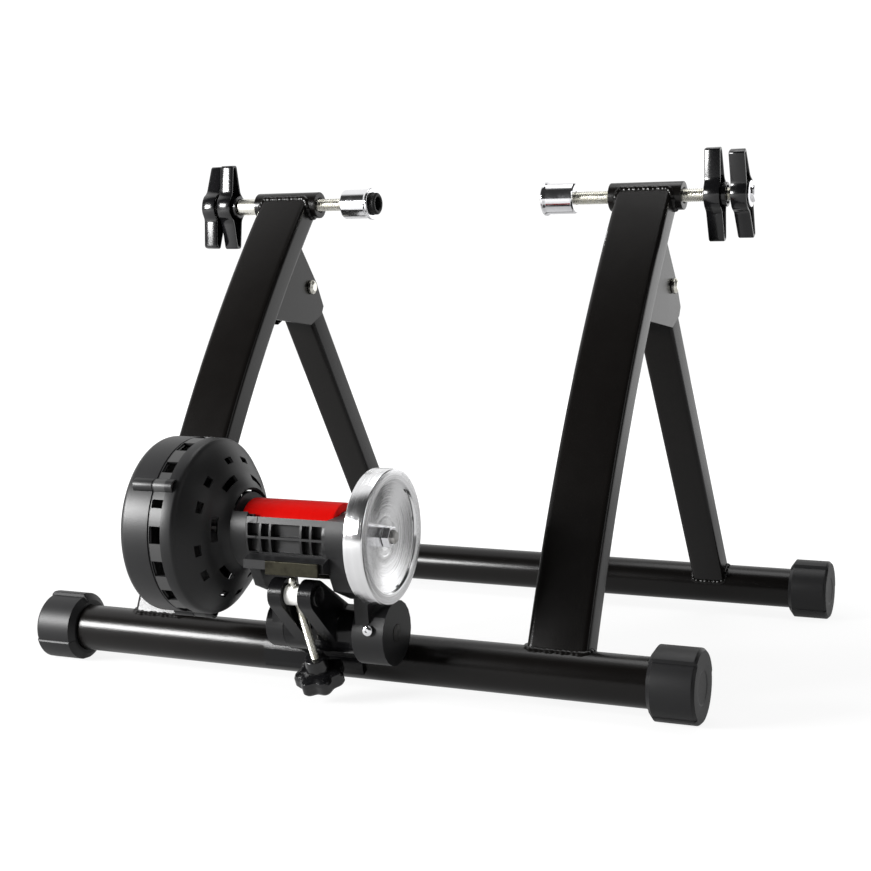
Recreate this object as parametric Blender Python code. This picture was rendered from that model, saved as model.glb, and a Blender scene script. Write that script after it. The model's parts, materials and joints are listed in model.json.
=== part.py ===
"""Wheel-on bike trainer: folding stand, hub clamps and magnetic resistance unit.

Metres, +Z up, +X along the two floor rails. The rider's wheel turns about an axis
parallel to X, and the resistance unit stands on the front rail, on the -Y side.
Pieces are laid out about the front rail's axis and then shifted by one parent
empty, so that the origin lies on the floor under the middle of the whole stand.
"""
import math

import bmesh
import bpy
from mathutils import Matrix, Vector

# Clearances
SEAT_GAP = 0.0003
RUN_GAP = 0.0004
SIDE_GAP = 0.0010

# Floor rails
RAIL_DIAMETER = 0.038
RAIL_WALL = 0.0016
FRONT_RAIL_LENGTH = 0.566
REAR_RAIL_LENGTH = 0.582
RAIL_SPACING = 0.4507

# Levelling feet: rubber cams on the rail ends
FOOT_LENGTH = 0.037
FOOT_END_WALL = 0.004
FOOT_RUBBER = 0.0084
FOOT_HIGH_STEP = 0.0015
FOOT_LOW_STEP = 0.0011
FOOT_FLAT_DEPTH = 0.0003
FOOT_MOUTH_TAPER = 0.005
FOOT_TAPER_LENGTH = 0.004
FOOT_END_CHAMFER = 0.002
FOOT_FACET = 10
FOOT_WORK_ARC = 140.0
FOOT_HIGH_ARC = 115.0
FOOT_TURNS = {"front_left": 202.0, "front_right": 235.0, "rear_left": 204.0, "rear_right": 222.0}

# Uprights, bowed rectangular tubes
UPRIGHT_SPACING = 0.353
UPRIGHT_WIDTH = 0.0495
UPRIGHT_DEPTH = 0.0246
UPRIGHT_CORNER = 0.004
UPRIGHT_WALL = 0.0018
UPRIGHT_BOW = 0.0177
AXLE_HEIGHT = 0.3987
AXLE_SETBACK = 0.2163

# Rear legs and the fold joint
LEG_SPACING = 0.356
LEG_WIDTH = 0.0312
LEG_DEPTH = 0.0248
LEG_CORNER = 0.003
LEG_WALL = 0.0016
LEG_TOP_OVERHANG = 0.018
FOLD_SETBACK = 0.2240
FOLD_HEIGHT = 0.3216
BRACKET_SHEET = 0.003
BRACKET_ABOVE = 0.040
BRACKET_BELOW = 0.030
BRACKET_NOSE = (0.026, -0.018)
BRACKET_CHIN = (0.022, -0.026)
BRACKET_TAIL = (0.001, -0.036)
FOLD_BOLT_RADIUS = 0.004
FOLD_HEAD_RADIUS = 0.0068
FOLD_HEAD_HEIGHT = 0.0045

# Hub clamps
SLEEVE_DIAMETER = 0.0245
SLEEVE_LENGTH = 0.065
ROD_RADIUS = 0.0057
CUP_GAP = 0.1652
CUP_LENGTH = 0.0292
CUP_RADIUS = 0.0136
CUP_FLANGE = 0.0014
CUP_FLANGE_LENGTH = 0.005
CUP_BORE = 0.0105
CUP_DEPTH = 0.017
INSERT_REACH = {"left": 0.0055, "right": 0.0}
SOCKET_RADIUS = 0.0062
SOCKET_DEPTH = 0.012
COLLAR_RADIUS = 0.0078
KNOB_LENGTH = 0.080
KNOB_THICKNESS = 0.0140
KNOB_TIP_WIDTH = 0.008
KNOB_WAIST_WIDTH = 0.0155
KNOB_MID_WIDTH = 0.030
KNOB_SWELL = 0.010
KNOB_BOSS_RADIUS = 0.0115
KNOB_RECESS = 0.009
KNOB_RIM = 0.0022
LOCK_BOSS = 0.004
INSERT_WALL = 0.0022
KNOB_PLACES = {"lock_left": -0.2490, "clamp_left": -0.2660, "lock_right": 0.2290, "clamp_right": 0.2520}
KNOB_TURNS = {"lock_left": 6.0, "clamp_left": -9.0, "lock_right": 14.0, "clamp_right": 29.0}
CAP_NUT_RADIUS = 0.0072
CAP_NUT_FLANGE = 0.0114
CAP_NUT_HEIGHT = 0.005

# Resistance unit: spindle line and pivot line, from the front rail's axis and the floor
SPINDLE_FORWARD = 0.060
SPINDLE_HEIGHT = 0.1314
PIVOT_FORWARD = 0.038
PIVOT_HEIGHT = 0.055
DRUM_RADIUS = 0.0684
DRUM_WALL = 0.003
DRUM_BACK_X = -0.1294
DRUM_SEAM_X = -0.1027
DRUM_BAND_X = -0.0835
DRUM_EDGE_ROUND = 0.006
DRUM_CORNER = 0.0025
DOME_RISE = 0.0180
NECK_RADIUS = 0.0310
NECK_FLARE = 0.006
NECK_X = -0.0412
NECK_FLARE_X = -0.0545
NECK_MOUTH_RISE = 0.0140
RIM_VENTS = 16
RIM_VENT_WIDTH = 0.0095
RIM_VENT_HEIGHT = 0.0113
DOME_VENT_GROUPS = 6
DOME_OUTER_VENT_RADIUS = 0.0525
DOME_INNER_VENT_RADIUS = 0.040
DOME_VENT_WIDTH = 0.0045
DOME_OUTER_VENT_LENGTH = 0.0088
DOME_INNER_VENT_LENGTH = 0.019
DOME_VENT_START = 25.8
DOME_VENT_SPREAD = 12.0
SCREW_BOSS_RADIUS = 0.0055
SCREW_RADIUS = 0.0019
SCREW_HEAD_RADIUS = 0.0034
SCREW_HEAD_HEIGHT = 0.0025
SCREW_SEAT = 0.013
SCREW_DEPTH = 0.011
BOSS_ANGLES = (148.0, 268.0, 28.0)

# Cradle
CAVITY_RADIUS = 0.0252
CRADLE_WALL_X = -0.0560
CRADLE_FLOOR_X = -0.0520
CRADLE_LEFT_X = -0.0386
CRADLE_BLOCK_X = 0.0285
CRADLE_END_X = 0.0480
SPIGOT_RADIUS = 0.018
CRADLE_FRONT = 0.0345
CRADLE_LIP = 0.0135
CRADLE_BELLY = 0.0335
CRADLE_BACK = 0.031
WALL_PROUD = 0.0004
SHELF_DROP = 0.0140
SHELF_EDGE = 0.0175
SEAT_FRONT = (-0.041, -0.0241)
SEAT_BACK = (-0.016, -0.0290)
WALL_SHIN = (-0.0300, -0.0245)
WALL_FOOT = (-0.0205, -0.0403)
WALL_HEEL = (0.0060, -0.0500)
WALL_REAR = (0.0260, -0.0300)
LEFT_WALL = 0.009
RIGHT_ARM_X = 0.0365
RIGHT_ARM_FRONT = -0.004
KNUCKLE_RADIUS = 0.018
KNUCKLE_START_X = -0.0440
KNUCKLE_END_X = -0.0290
BARREL_RADIUS = 0.025
BARREL_START_X = 0.034
BARREL_END_X = 0.060
RIB_THICKNESS = 0.0018
RIB_FLOOR = 0.0285
RIB_POSTS = (-0.0377, -0.0265, -0.0180, 0.0079, 0.0162, 0.0266)
RIB_LEVELS = (0.0098, -0.0016, -0.0135)

# Spindle
SHAFT_RADIUS = 0.005
BEARING_RADIUS = 0.013
BEARING_WIDTH = 0.008
ROLLER_RADIUS = 0.0235
ROLLER_SLEEVE_WALL = 0.0065
ROTOR_RADIUS = 0.060
ROTOR_THICKNESS = 0.005
ROTOR_AIR_GAP = 0.002
ROTOR_HUB_RADIUS = 0.014
ROTOR_HUB_LENGTH = 0.008
FLYWHEEL_RADIUS = 0.0508
FLYWHEEL_WIDTH = 0.0158
FLYWHEEL_RIM = 0.0085
FLYWHEEL_BACK_X = 0.0510
FLYWHEEL_HUB_RADIUS = 0.014
FLYWHEEL_STEP = 0.0016
FLYWHEEL_DISH = 0.0042
FLYWHEEL_BEVEL = 0.0012
FLYWHEEL_HUB_SHARE = 0.62
SPINDLE_NUT_RADIUS = 0.0085
SPINDLE_NUT_HEIGHT = 0.006
MAGNET_SIZE = 0.014
MAGNET_THICKNESS = 0.005
MAGNET_CIRCLE = 0.046
MAGNET_COUNT = 4
CARRIER_THICKNESS = 0.0025

# Pivot and adjuster on the front rail
PIVOT_BOLT_RADIUS = 0.004
PIVOT_HEAD_RADIUS = 0.0068
PIVOT_HEAD_HEIGHT = 0.005
FIXED_BARREL_RADIUS = 0.019
SADDLE_THICKNESS = 0.0035
SADDLE_LEFT = -0.0655
SADDLE_RIGHT = 0.0225
SADDLE_BACK_ANGLE = 62.0
SADDLE_FRONT_ANGLE = 212.0
EAR_RADIUS = 0.012
EAR_THICKNESS = 0.0112
EAR_SPREAD = 0.0126
TRUNNION_FORWARD = 0.086
TRUNNION_HEIGHT = 0.0875
TRUNNION_RADIUS = 0.008
TRUNNION_STUB_RADIUS = 0.004
JACK_RADIUS = 0.0032
JACK_LEAN = 28.6
JACK_TIP_GAP = 0.0006
JACK_HUB_REACH = 0.060
STAR_HUB_RADIUS = 0.010
STAR_HUB_HEIGHT = 0.011
STAR_RADIUS = 0.020
STAR_LOBE_DEPTH = 0.003
STAR_THICKNESS = 0.014
STAR_LOBES = 7
WEAR_PLATE_THICKNESS = 0.003
WEAR_PLATE_LENGTH = 0.0185
WEAR_PLATE_LIP = 0.0075
WEAR_PLATE_LEFT = -0.0165
WEAR_PLATE_RIGHT = 0.0280
BARREL_SCREW_RADIUS = 0.0042
BARREL_SCREW_X = 0.048
BARREL_SCREW_RISE = 0.0055

# Facets of round pieces
FINE = 32
MEDIUM = 20
COARSE = 12

# Derived places
rail_radius = RAIL_DIAMETER / 2
foot_radius = rail_radius + FOOT_RUBBER
rail_z = foot_radius - FOOT_FLAT_DEPTH
upright_x = UPRIGHT_SPACING / 2
leg_x = LEG_SPACING / 2
sleeve_radius = SLEEVE_DIAMETER / 2
spindle_y = -SPINDLE_FORWARD
pivot_y = -PIVOT_FORWARD
trunnion_y = -TRUNNION_FORWARD
floor_reach_front = SPINDLE_FORWARD + DRUM_RADIUS
floor_reach_rear = RAIL_SPACING + foot_radius + FOOT_HIGH_STEP
ORIGIN = Vector((0, (floor_reach_front - floor_reach_rear) / 2, 0))
SIDES = {"left": -1, "right": 1}
left_bearing_x = CRADLE_WALL_X - SIDE_GAP - BEARING_WIDTH
right_bearing_x = CRADLE_END_X - SIDE_GAP - BEARING_WIDTH
spigot_x = left_bearing_x - SIDE_GAP
neck_bore = NECK_RADIUS - DRUM_WALL
barrel_floor = BARREL_END_X - PIVOT_HEAD_HEIGHT
stub_end = EAR_SPREAD + EAR_THICKNESS * 0.3


def clear_scene():
    """Remove whatever the opened file holds."""
    for item in list(bpy.data.objects):
        bpy.data.objects.remove(item)


def make_material(name, colour, roughness, metallic):
    """A plain Principled material."""
    material = bpy.data.materials.new(name)
    material.use_nodes = True
    shader = material.node_tree.nodes["Principled BSDF"]
    shader.inputs["Base Color"].default_value = (*colour, 1)
    shader.inputs["Roughness"].default_value = roughness
    shader.inputs["Metallic"].default_value = metallic
    return material


def make_finishes():
    """The finishes of the real pieces, by name."""
    return {
        "powder_black": make_material("powder_black", (0.02, 0.02, 0.021), 0.3, 0.0),
        "rubber": make_material("rubber", (0.03, 0.03, 0.03), 0.7, 0.0),
        "zinc": make_material("zinc", (0.72, 0.70, 0.62), 0.35, 1.0),
        "chrome": make_material("chrome", (0.85, 0.85, 0.87), 0.1, 1.0),
        "gloss_plastic": make_material("gloss_plastic", (0.015, 0.015, 0.016), 0.22, 0.0),
        "grey_plastic": make_material("grey_plastic", (0.045, 0.045, 0.048), 0.45, 0.0),
        "white_plastic": make_material("white_plastic", (0.8, 0.8, 0.76), 0.4, 0.0),
        "red_roller": make_material("red_roller", (0.75, 0.02, 0.01), 0.3, 0.0),
        "aluminium": make_material("aluminium", (0.8, 0.8, 0.8), 0.25, 1.0),
        "magnet": make_material("magnet", (0.35, 0.35, 0.36), 0.4, 1.0),
    }


def new_root():
    """The empty that moves the whole stand onto its origin."""
    root = bpy.data.objects.new("trainer", None)
    root.location = ORIGIN
    bpy.context.scene.collection.objects.link(root)
    return root


class Workshop:
    """Makes objects from points, under one root, and cuts or joins them."""

    def __init__(self):
        clear_scene()
        self.root = new_root()
        self.finishes = make_finishes()

    def add(self, name, mesh, finish=None, origin=(0, 0, 0)):
        """Link a mesh as an object whose origin is at the given point."""
        origin = Vector(origin)
        mesh.transform(Matrix.Translation(-origin))
        item = bpy.data.objects.new(name, mesh)
        item.location = origin
        item.parent = self.root
        bpy.context.scene.collection.objects.link(item)
        if finish:
            mesh.materials.append(self.finishes[finish])
            mesh.shade_smooth()
            mesh.set_sharp_from_angle(angle=math.radians(32))
        return item

    def guide(self, name, mesh):
        """A hidden shape that only cuts or joins."""
        item = self.add(name, mesh)
        item.hide_render = True
        item.display_type = "WIRE"
        return item

    def combine(self, target, mesh, operation):
        """Cut or join one hidden shape into the target."""
        tool = self.guide(f"{target.name}_{operation.lower()}_{len(target.modifiers)}", mesh)
        modifier = target.modifiers.new(tool.name, "BOOLEAN")
        modifier.operation = operation
        modifier.object = tool
        modifier.solver = "EXACT"

    def cut(self, target, mesh):
        """Take a shape away from the target."""
        self.combine(target, mesh, "DIFFERENCE")

    def join(self, target, mesh):
        """Add a shape to the target."""
        self.combine(target, mesh, "UNION")


def mesh_from(points, faces):
    """A mesh with its faces turned outwards."""
    mesh = bpy.data.meshes.new("shape")
    mesh.from_pydata([tuple(p) for p in points], [], faces)
    shape = bmesh.new()
    shape.from_mesh(mesh)
    bmesh.ops.remove_doubles(shape, verts=shape.verts, dist=1e-7)
    bmesh.ops.recalc_face_normals(shape, faces=shape.faces)
    shape.to_mesh(mesh)
    shape.free()
    return mesh


def merge_meshes(meshes):
    """Several shapes that don't touch, as one mesh."""
    whole = bmesh.new()
    for mesh in meshes:
        whole.from_mesh(mesh)
    merged = bpy.data.meshes.new("shape")
    whole.to_mesh(merged)
    whole.free()
    return merged


def bridge(first, second, count):
    """Quads between two rings of the same number of points."""
    return [(first + i, first + (i + 1) % count, second + (i + 1) % count, second + i) for i in range(count)]


def loft(rings, closed=False):
    """Skin a list of rings; a closed list joins its last ring to its first."""
    count = len(rings[0])
    points = [p for ring in rings for p in ring]
    faces = []
    for k in range(len(rings) - 1):
        faces += bridge(k * count, (k + 1) * count, count)
    if closed:
        faces += bridge((len(rings) - 1) * count, 0, count)
    else:
        faces.append(tuple(range(count)))
        faces.append(tuple(range((len(rings) - 1) * count, len(rings) * count)))
    return mesh_from(points, faces)


def ring_x(x, radius, centre, facets):
    """A circle of points about an axis parallel to X."""
    steps = [2 * math.pi * i / facets for i in range(facets)]
    return [(x, centre[0] + radius * math.cos(a), centre[1] + radius * math.sin(a)) for a in steps]


def lathe(profile, centre, facets):
    """Turn (x, radius) points about an axis parallel to X; a bored piece gives a closed loop."""
    bored = min(radius for _, radius in profile) > 0
    rings = [ring_x(x, radius, centre, facets) for x, radius in profile if radius > 0]
    return loft(rings, closed=bored)


def tube(start, end, outer, inner, centre, facets):
    """A straight tube along X."""
    return lathe([(start, inner), (start, outer), (end, outer), (end, inner)], centre, facets)


def bar(start, end, radius, centre, facets):
    """A straight round bar along X."""
    return lathe([(start, 0), (start, radius), (end, radius), (end, 0)], centre, facets)


def prism(outline, start, end):
    """Extrude a (y, z) outline along X."""
    return loft([[(x, y, z) for y, z in outline] for x in (start, end)])


def block(low, high):
    """A box between two corners."""
    outline = [(low[1], low[2]), (high[1], low[2]), (high[1], high[2]), (low[1], high[2])]
    return prism(outline, low[0], high[0])


def hexagon(radius, centre):
    """The corners of a hexagon about (y, z)."""
    angles = [math.radians(60 * i) for i in range(6)]
    return [(centre[0] + radius * math.cos(a), centre[1] + radius * math.sin(a)) for a in angles]


def arc(centre, radius, start, end, steps):
    """Points on an arc, in degrees."""
    angles = [math.radians(start + (end - start) * i / steps) for i in range(steps + 1)]
    return [(centre[0] + radius * math.cos(a), centre[1] + radius * math.sin(a)) for a in angles]


def link_outline(first, first_radius, second, second_radius, steps=10):
    """The outline of a flat link between two round ends."""
    heading = math.degrees(math.atan2(second[1] - first[1], second[0] - first[0]))
    reach = math.dist(first, second)
    swing = math.degrees(math.acos((first_radius - second_radius) / reach))
    points = arc(second, second_radius, heading - swing, heading + swing, steps)
    return points + arc(first, first_radius, heading + swing, heading + 360 - swing, steps)


def rounded_section(width, depth, corner, steps=2):
    """A rectangle with round corners, about its middle: (across, through) points."""
    points = []
    corners = ((1, 1, 0), (-1, 1, 90), (-1, -1, 180), (1, -1, 270))
    for side, face, start in corners:
        middle = (side * (width / 2 - corner), face * (depth / 2 - corner))
        points += arc(middle, corner, start, start + 90, steps)
    return points


def turned(mesh, angle, centre):
    """Turn a mesh about an axis parallel to X through (y, z)."""
    place = Matrix.Translation((0, centre[0], centre[1]))
    mesh.transform(place @ Matrix.Rotation(math.radians(angle), 4, "X") @ place.inverted())
    return mesh


def upright_centre(t):
    """The upright's centre line: the chord from rail to sleeve, bowed to the front."""
    rise = AXLE_HEIGHT - rail_z
    reach = math.hypot(AXLE_SETBACK, rise)
    bow = 4 * UPRIGHT_BOW * t * (1 - t)
    return AXLE_SETBACK * t - bow * rise / reach, rail_z + rise * t + bow * AXLE_SETBACK / reach


def upright_direction(t, step=0.001):
    """The unit direction along the upright's centre line."""
    ahead, behind = upright_centre(t + step), upright_centre(t - step)
    run, rise = ahead[0] - behind[0], ahead[1] - behind[1]
    size = math.hypot(run, rise)
    return run / size, rise / size


def upright_back(height):
    """The y of the upright's back face at a height, on the same curve where that lies past its top."""
    low, high = 0.0, 1.25
    for _ in range(40):
        middle = (low + high) / 2
        centre, heading = upright_centre(middle), upright_direction(middle)
        if centre[1] - heading[0] * UPRIGHT_DEPTH / 2 < height:
            low = middle
        else:
            high = middle
    return centre[0] + heading[1] * UPRIGHT_DEPTH / 2


def upright_ring(t, x, section):
    """The tube's section set across the bowed centre line."""
    centre, heading = upright_centre(t), upright_direction(t)
    ring = []
    for across, through in section:
        ring.append((x + across, centre[0] + heading[1] * through, centre[1] - heading[0] * through))
    return ring


def make_upright(shop, side, sign):
    """A bowed rectangular tube, coped over the rail and under the axle sleeve."""
    outer = rounded_section(UPRIGHT_WIDTH, UPRIGHT_DEPTH, UPRIGHT_CORNER)
    inner_corner = max(UPRIGHT_CORNER - UPRIGHT_WALL, UPRIGHT_WALL / 2)
    inner = rounded_section(UPRIGHT_WIDTH - 2 * UPRIGHT_WALL, UPRIGHT_DEPTH - 2 * UPRIGHT_WALL, inner_corner)
    stations = 10
    steps = [i / stations for i in range(stations + 1)]
    x = sign * upright_x
    rings = [upright_ring(t, x, outer) for t in steps]
    rings += [upright_ring(t, x, inner) for t in reversed(steps)]
    piece = shop.add(f"upright_{side}", loft(rings, closed=True), "powder_black")
    reach = UPRIGHT_WIDTH
    shop.cut(piece, bar(x - reach, x + reach, rail_radius + SEAT_GAP, (0, rail_z), FINE))
    shop.cut(piece, bar(x - reach, x + reach, sleeve_radius + SEAT_GAP, (AXLE_SETBACK, AXLE_HEIGHT), MEDIUM))


def make_sleeve(shop, side, sign):
    """The threaded sleeve across the upright's top."""
    middle = sign * upright_x
    mesh = tube(middle - SLEEVE_LENGTH / 2, middle + SLEEVE_LENGTH / 2, sleeve_radius,
                ROD_RADIUS + RUN_GAP, (AXLE_SETBACK, AXLE_HEIGHT), MEDIUM)
    shop.add(f"axle_sleeve_{side}", mesh, "powder_black")


def make_rail(shop, name, length, y):
    """A round floor rail, open at its ends under the feet."""
    mesh = tube(-length / 2, length / 2, rail_radius, rail_radius - RAIL_WALL, (y, rail_z), FINE)
    shop.add(name, mesh, "powder_black")


def foot_radius_at(angle, start):
    """The cam's radius: a working arc, a high lobe and a low one, split by steps."""
    turn = (angle - start) % 360
    if turn < FOOT_WORK_ARC:
        return foot_radius
    if turn < FOOT_WORK_ARC + FOOT_HIGH_ARC:
        return foot_radius + FOOT_HIGH_STEP
    return foot_radius - FOOT_LOW_STEP


def foot_ring(x, y, start, shrink):
    """The foot's outline at one station, with a flat where it stands on the floor."""
    edges = [edge % 360 for edge in (start, start + FOOT_WORK_ARC, start + FOOT_WORK_ARC + FOOT_HIGH_ARC)]
    half_flat = math.degrees(math.acos(rail_z / foot_radius))
    angles = [270 - half_flat, 270 + half_flat]
    angles += [turn for turn in range(0, 360, FOOT_FACET) if abs(turn - 270) > half_flat
               and min(abs(turn - edge) for edge in edges) > 1]
    for edge in edges:
        angles += [edge - 0.01, edge + 0.01]
    ring = []
    for angle in sorted(angles):
        radius = foot_radius_at(angle, start) - shrink
        turn = math.radians(angle)
        height = max(rail_z + radius * math.sin(turn), 0)
        ring.append((x, y + radius * math.cos(turn), height))
    return ring


def make_foot(shop, place, sign, y, rail_length):
    """A levelling foot: a rubber cam cap that turns on the rail's end."""
    start = FOOT_TURNS[place]
    end = sign * (rail_length / 2 + SEAT_GAP + FOOT_END_WALL)
    mouth = end - sign * FOOT_LENGTH
    floor = end - sign * FOOT_END_WALL
    outer = [foot_ring(end, y, start, FOOT_END_CHAMFER),
             foot_ring(end - sign * FOOT_END_CHAMFER, y, start, 0),
             foot_ring(mouth + sign * FOOT_TAPER_LENGTH, y, start, 0),
             foot_ring(mouth, y, start, FOOT_MOUTH_TAPER)]
    count = len(outer[0])
    bore = [ring_x(x, rail_radius + SEAT_GAP, (y, rail_z), count) for x in (mouth, floor)]
    mesh = loft(outer + bore)
    shop.add(f"foot_{place}", mesh, "rubber", (end, y, rail_z))


def make_leg(shop, side, sign):
    """A straight rear leg, coped over the rear rail and bored for the fold bolt."""
    foot = Vector((RAIL_SPACING, rail_z))
    pivot = Vector((FOLD_SETBACK, FOLD_HEIGHT))
    heading = (pivot - foot).normalized()
    top = pivot + heading * LEG_TOP_OVERHANG
    outer = rounded_section(LEG_WIDTH, LEG_DEPTH, LEG_CORNER)
    inner = rounded_section(LEG_WIDTH - 2 * LEG_WALL, LEG_DEPTH - 2 * LEG_WALL, LEG_CORNER / 2)
    x = sign * leg_x
    rings = []
    for section, ends in ((outer, (foot, top)), (inner, (top, foot))):
        for end in ends:
            rings.append([(x + across, end[0] + heading[1] * through, end[1] - heading[0] * through)
                          for across, through in section])
    piece = shop.add(f"rear_leg_{side}", loft(rings, closed=True), "powder_black",
                     (x, FOLD_SETBACK, FOLD_HEIGHT))
    reach = LEG_WIDTH
    shop.cut(piece, bar(x - reach, x + reach, rail_radius + SEAT_GAP, (RAIL_SPACING, rail_z), FINE))
    bolt = (FOLD_SETBACK, FOLD_HEIGHT)
    shop.cut(piece, bar(x - reach, x + reach, FOLD_BOLT_RADIUS + RUN_GAP, bolt, COARSE))


def bracket_outline():
    """One cheek of the fold bracket, from the upright's back face round the fold bolt."""
    top = FOLD_HEIGHT + BRACKET_ABOVE
    low = FOLD_HEIGHT - BRACKET_BELOW
    return [(upright_back(top) + SEAT_GAP, top),
            (FOLD_SETBACK + 3 * FOLD_BOLT_RADIUS, FOLD_HEIGHT + FOLD_BOLT_RADIUS),
            (FOLD_SETBACK + BRACKET_NOSE[0], FOLD_HEIGHT + BRACKET_NOSE[1]),
            (FOLD_SETBACK + BRACKET_CHIN[0], FOLD_HEIGHT + BRACKET_CHIN[1]),
            (FOLD_SETBACK + BRACKET_TAIL[0], FOLD_HEIGHT + BRACKET_TAIL[1]),
            (upright_back(low) + SEAT_GAP, low),
            (upright_back(FOLD_HEIGHT) + SEAT_GAP, FOLD_HEIGHT)]


def make_fold_bracket(shop, side, sign):
    """A bent sheet bracket on the upright's back: two cheeks and a web between them."""
    x = sign * leg_x
    half = LEG_WIDTH / 2 + SIDE_GAP
    outline = bracket_outline()
    outside = half + BRACKET_SHEET
    piece = shop.add(f"fold_bracket_{side}", prism(outline, x - outside, x + outside), "powder_black")
    web = [(y + BRACKET_SHEET * 1.3, z) for y, z in (outline[-2], outline[-1], outline[0])]
    reach = 0.08
    room = [web[0], web[1], web[2], (web[2][0] + reach, web[2][1] + reach),
            (web[0][0] + 2 * reach, web[0][1]), (web[0][0] + reach, web[0][1] - reach),
            (web[0][0] - 0.002, web[0][1] - reach)]
    shop.cut(piece, prism(room, x - half, x + half))
    bolt = (FOLD_SETBACK, FOLD_HEIGHT)
    shop.cut(piece, bar(x - 2 * half, x + 2 * half, FOLD_BOLT_RADIUS + SEAT_GAP, bolt, COARSE))


def make_fold_bolt(shop, side, sign):
    """The fold bolt, its round head on +X, and the nut on its end."""
    x = sign * leg_x
    centre = (FOLD_SETBACK, FOLD_HEIGHT)
    face = LEG_WIDTH / 2 + SIDE_GAP + BRACKET_SHEET + SEAT_GAP
    head = x + face
    tail = x - face
    grip = FOLD_HEAD_HEIGHT + 0.002
    profile = [(tail - grip, 0), (tail - grip, FOLD_BOLT_RADIUS), (head, FOLD_BOLT_RADIUS),
               (head, FOLD_HEAD_RADIUS), (head + FOLD_HEAD_HEIGHT * 0.6, FOLD_HEAD_RADIUS),
               (head + FOLD_HEAD_HEIGHT, FOLD_HEAD_RADIUS * 0.6), (head + FOLD_HEAD_HEIGHT, 0)]
    shop.add(f"fold_bolt_{side}", lathe(profile, centre, COARSE), "zinc", (x, *centre))
    flats = prism(hexagon(FOLD_HEAD_RADIUS, centre), tail - FOLD_HEAD_HEIGHT, tail)
    nut = shop.add(f"fold_nut_{side}", flats, "zinc", (x, *centre))
    shop.cut(nut, bar(tail - 0.01, tail + 0.01, FOLD_BOLT_RADIUS + SEAT_GAP, centre, COARSE))


def knob_outline(shrink):
    """A two-winged bar seen along X: narrow tips that swell to a round middle."""
    half, edge, middle = KNOB_LENGTH / 2 - shrink, KNOB_TIP_WIDTH / 2 - shrink, KNOB_MID_WIDTH / 2 - shrink
    waist, waist_height = KNOB_WAIST_WIDTH / 2 - shrink, KNOB_LENGTH * 0.3
    right = [(edge - 0.001, half), (edge, half - 0.002), (waist, waist_height), (middle - 0.002, KNOB_SWELL),
             (middle, KNOB_SWELL * 0.4), (middle, -KNOB_SWELL * 0.4), (middle - 0.002, -KNOB_SWELL),
             (waist, -waist_height), (edge, -half + 0.002), (edge - 0.001, -half)]
    return right + [(-y, -z) for y, z in right]


def make_wing_knob(shop, name, boss, bore):
    """A wing knob on the clamp line: a bar, hollow on its +X face, with a boss at its middle."""
    centre = (AXLE_SETBACK, AXLE_HEIGHT)
    low, angle = KNOB_PLACES[name], KNOB_TURNS[name]
    high = low + KNOB_THICKNESS
    place, side = name.split("_")
    outline = [(centre[0] + y, centre[1] + z) for y, z in knob_outline(0)]
    piece = shop.add(f"{place}_knob_{side}", turned(prism(outline, low, high), angle, centre), "gloss_plastic",
                     (low, *centre))
    inner = [(centre[0] + y, centre[1] + z) for y, z in knob_outline(KNOB_RIM)]
    shop.cut(piece, turned(prism(inner, high - KNOB_RECESS, high + 0.01), angle, centre))
    shop.join(piece, bar(high - KNOB_RECESS - 0.001, high + boss, KNOB_BOSS_RADIUS, centre, MEDIUM))
    shop.cut(piece, bar(low - 0.01, high + boss + 0.01, bore, centre, COARSE))
    return low, high + boss


def make_hub_cup(shop, side, sign):
    """The steel cup that takes the hub's end, and the soft liner in it."""
    centre = (AXLE_SETBACK, AXLE_HEIGHT)
    nose = sign * CUP_GAP / 2
    mouth = nose + sign * INSERT_REACH[side]
    back = mouth + sign * CUP_LENGTH
    floor = mouth + sign * CUP_DEPTH
    lip = CUP_RADIUS + CUP_FLANGE
    hole = ROD_RADIUS + SEAT_GAP
    cup = [(mouth, CUP_BORE), (mouth, lip), (mouth + sign * CUP_FLANGE_LENGTH * 0.6, lip),
           (mouth + sign * CUP_FLANGE_LENGTH, CUP_RADIUS), (back - sign * 0.001, CUP_RADIUS),
           (back, CUP_RADIUS - 0.001), (back, hole), (floor, hole), (floor, CUP_BORE)]
    shop.add(f"hub_cup_{side}", lathe(cup, centre, MEDIUM), "chrome", (mouth, *centre))
    outer = CUP_BORE - SEAT_GAP
    socket = nose + sign * SOCKET_DEPTH
    liner = [(floor - sign * SEAT_GAP, outer), (nose + sign * 0.0015, outer), (nose, outer - 0.0015),
             (nose, SOCKET_RADIUS), (socket, SOCKET_RADIUS)]
    shop.add(f"cup_liner_{side}", loft([ring_x(x, radius, centre, MEDIUM) for x, radius in liner]), "rubber",
             (mouth, *centre))
    return floor


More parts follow.
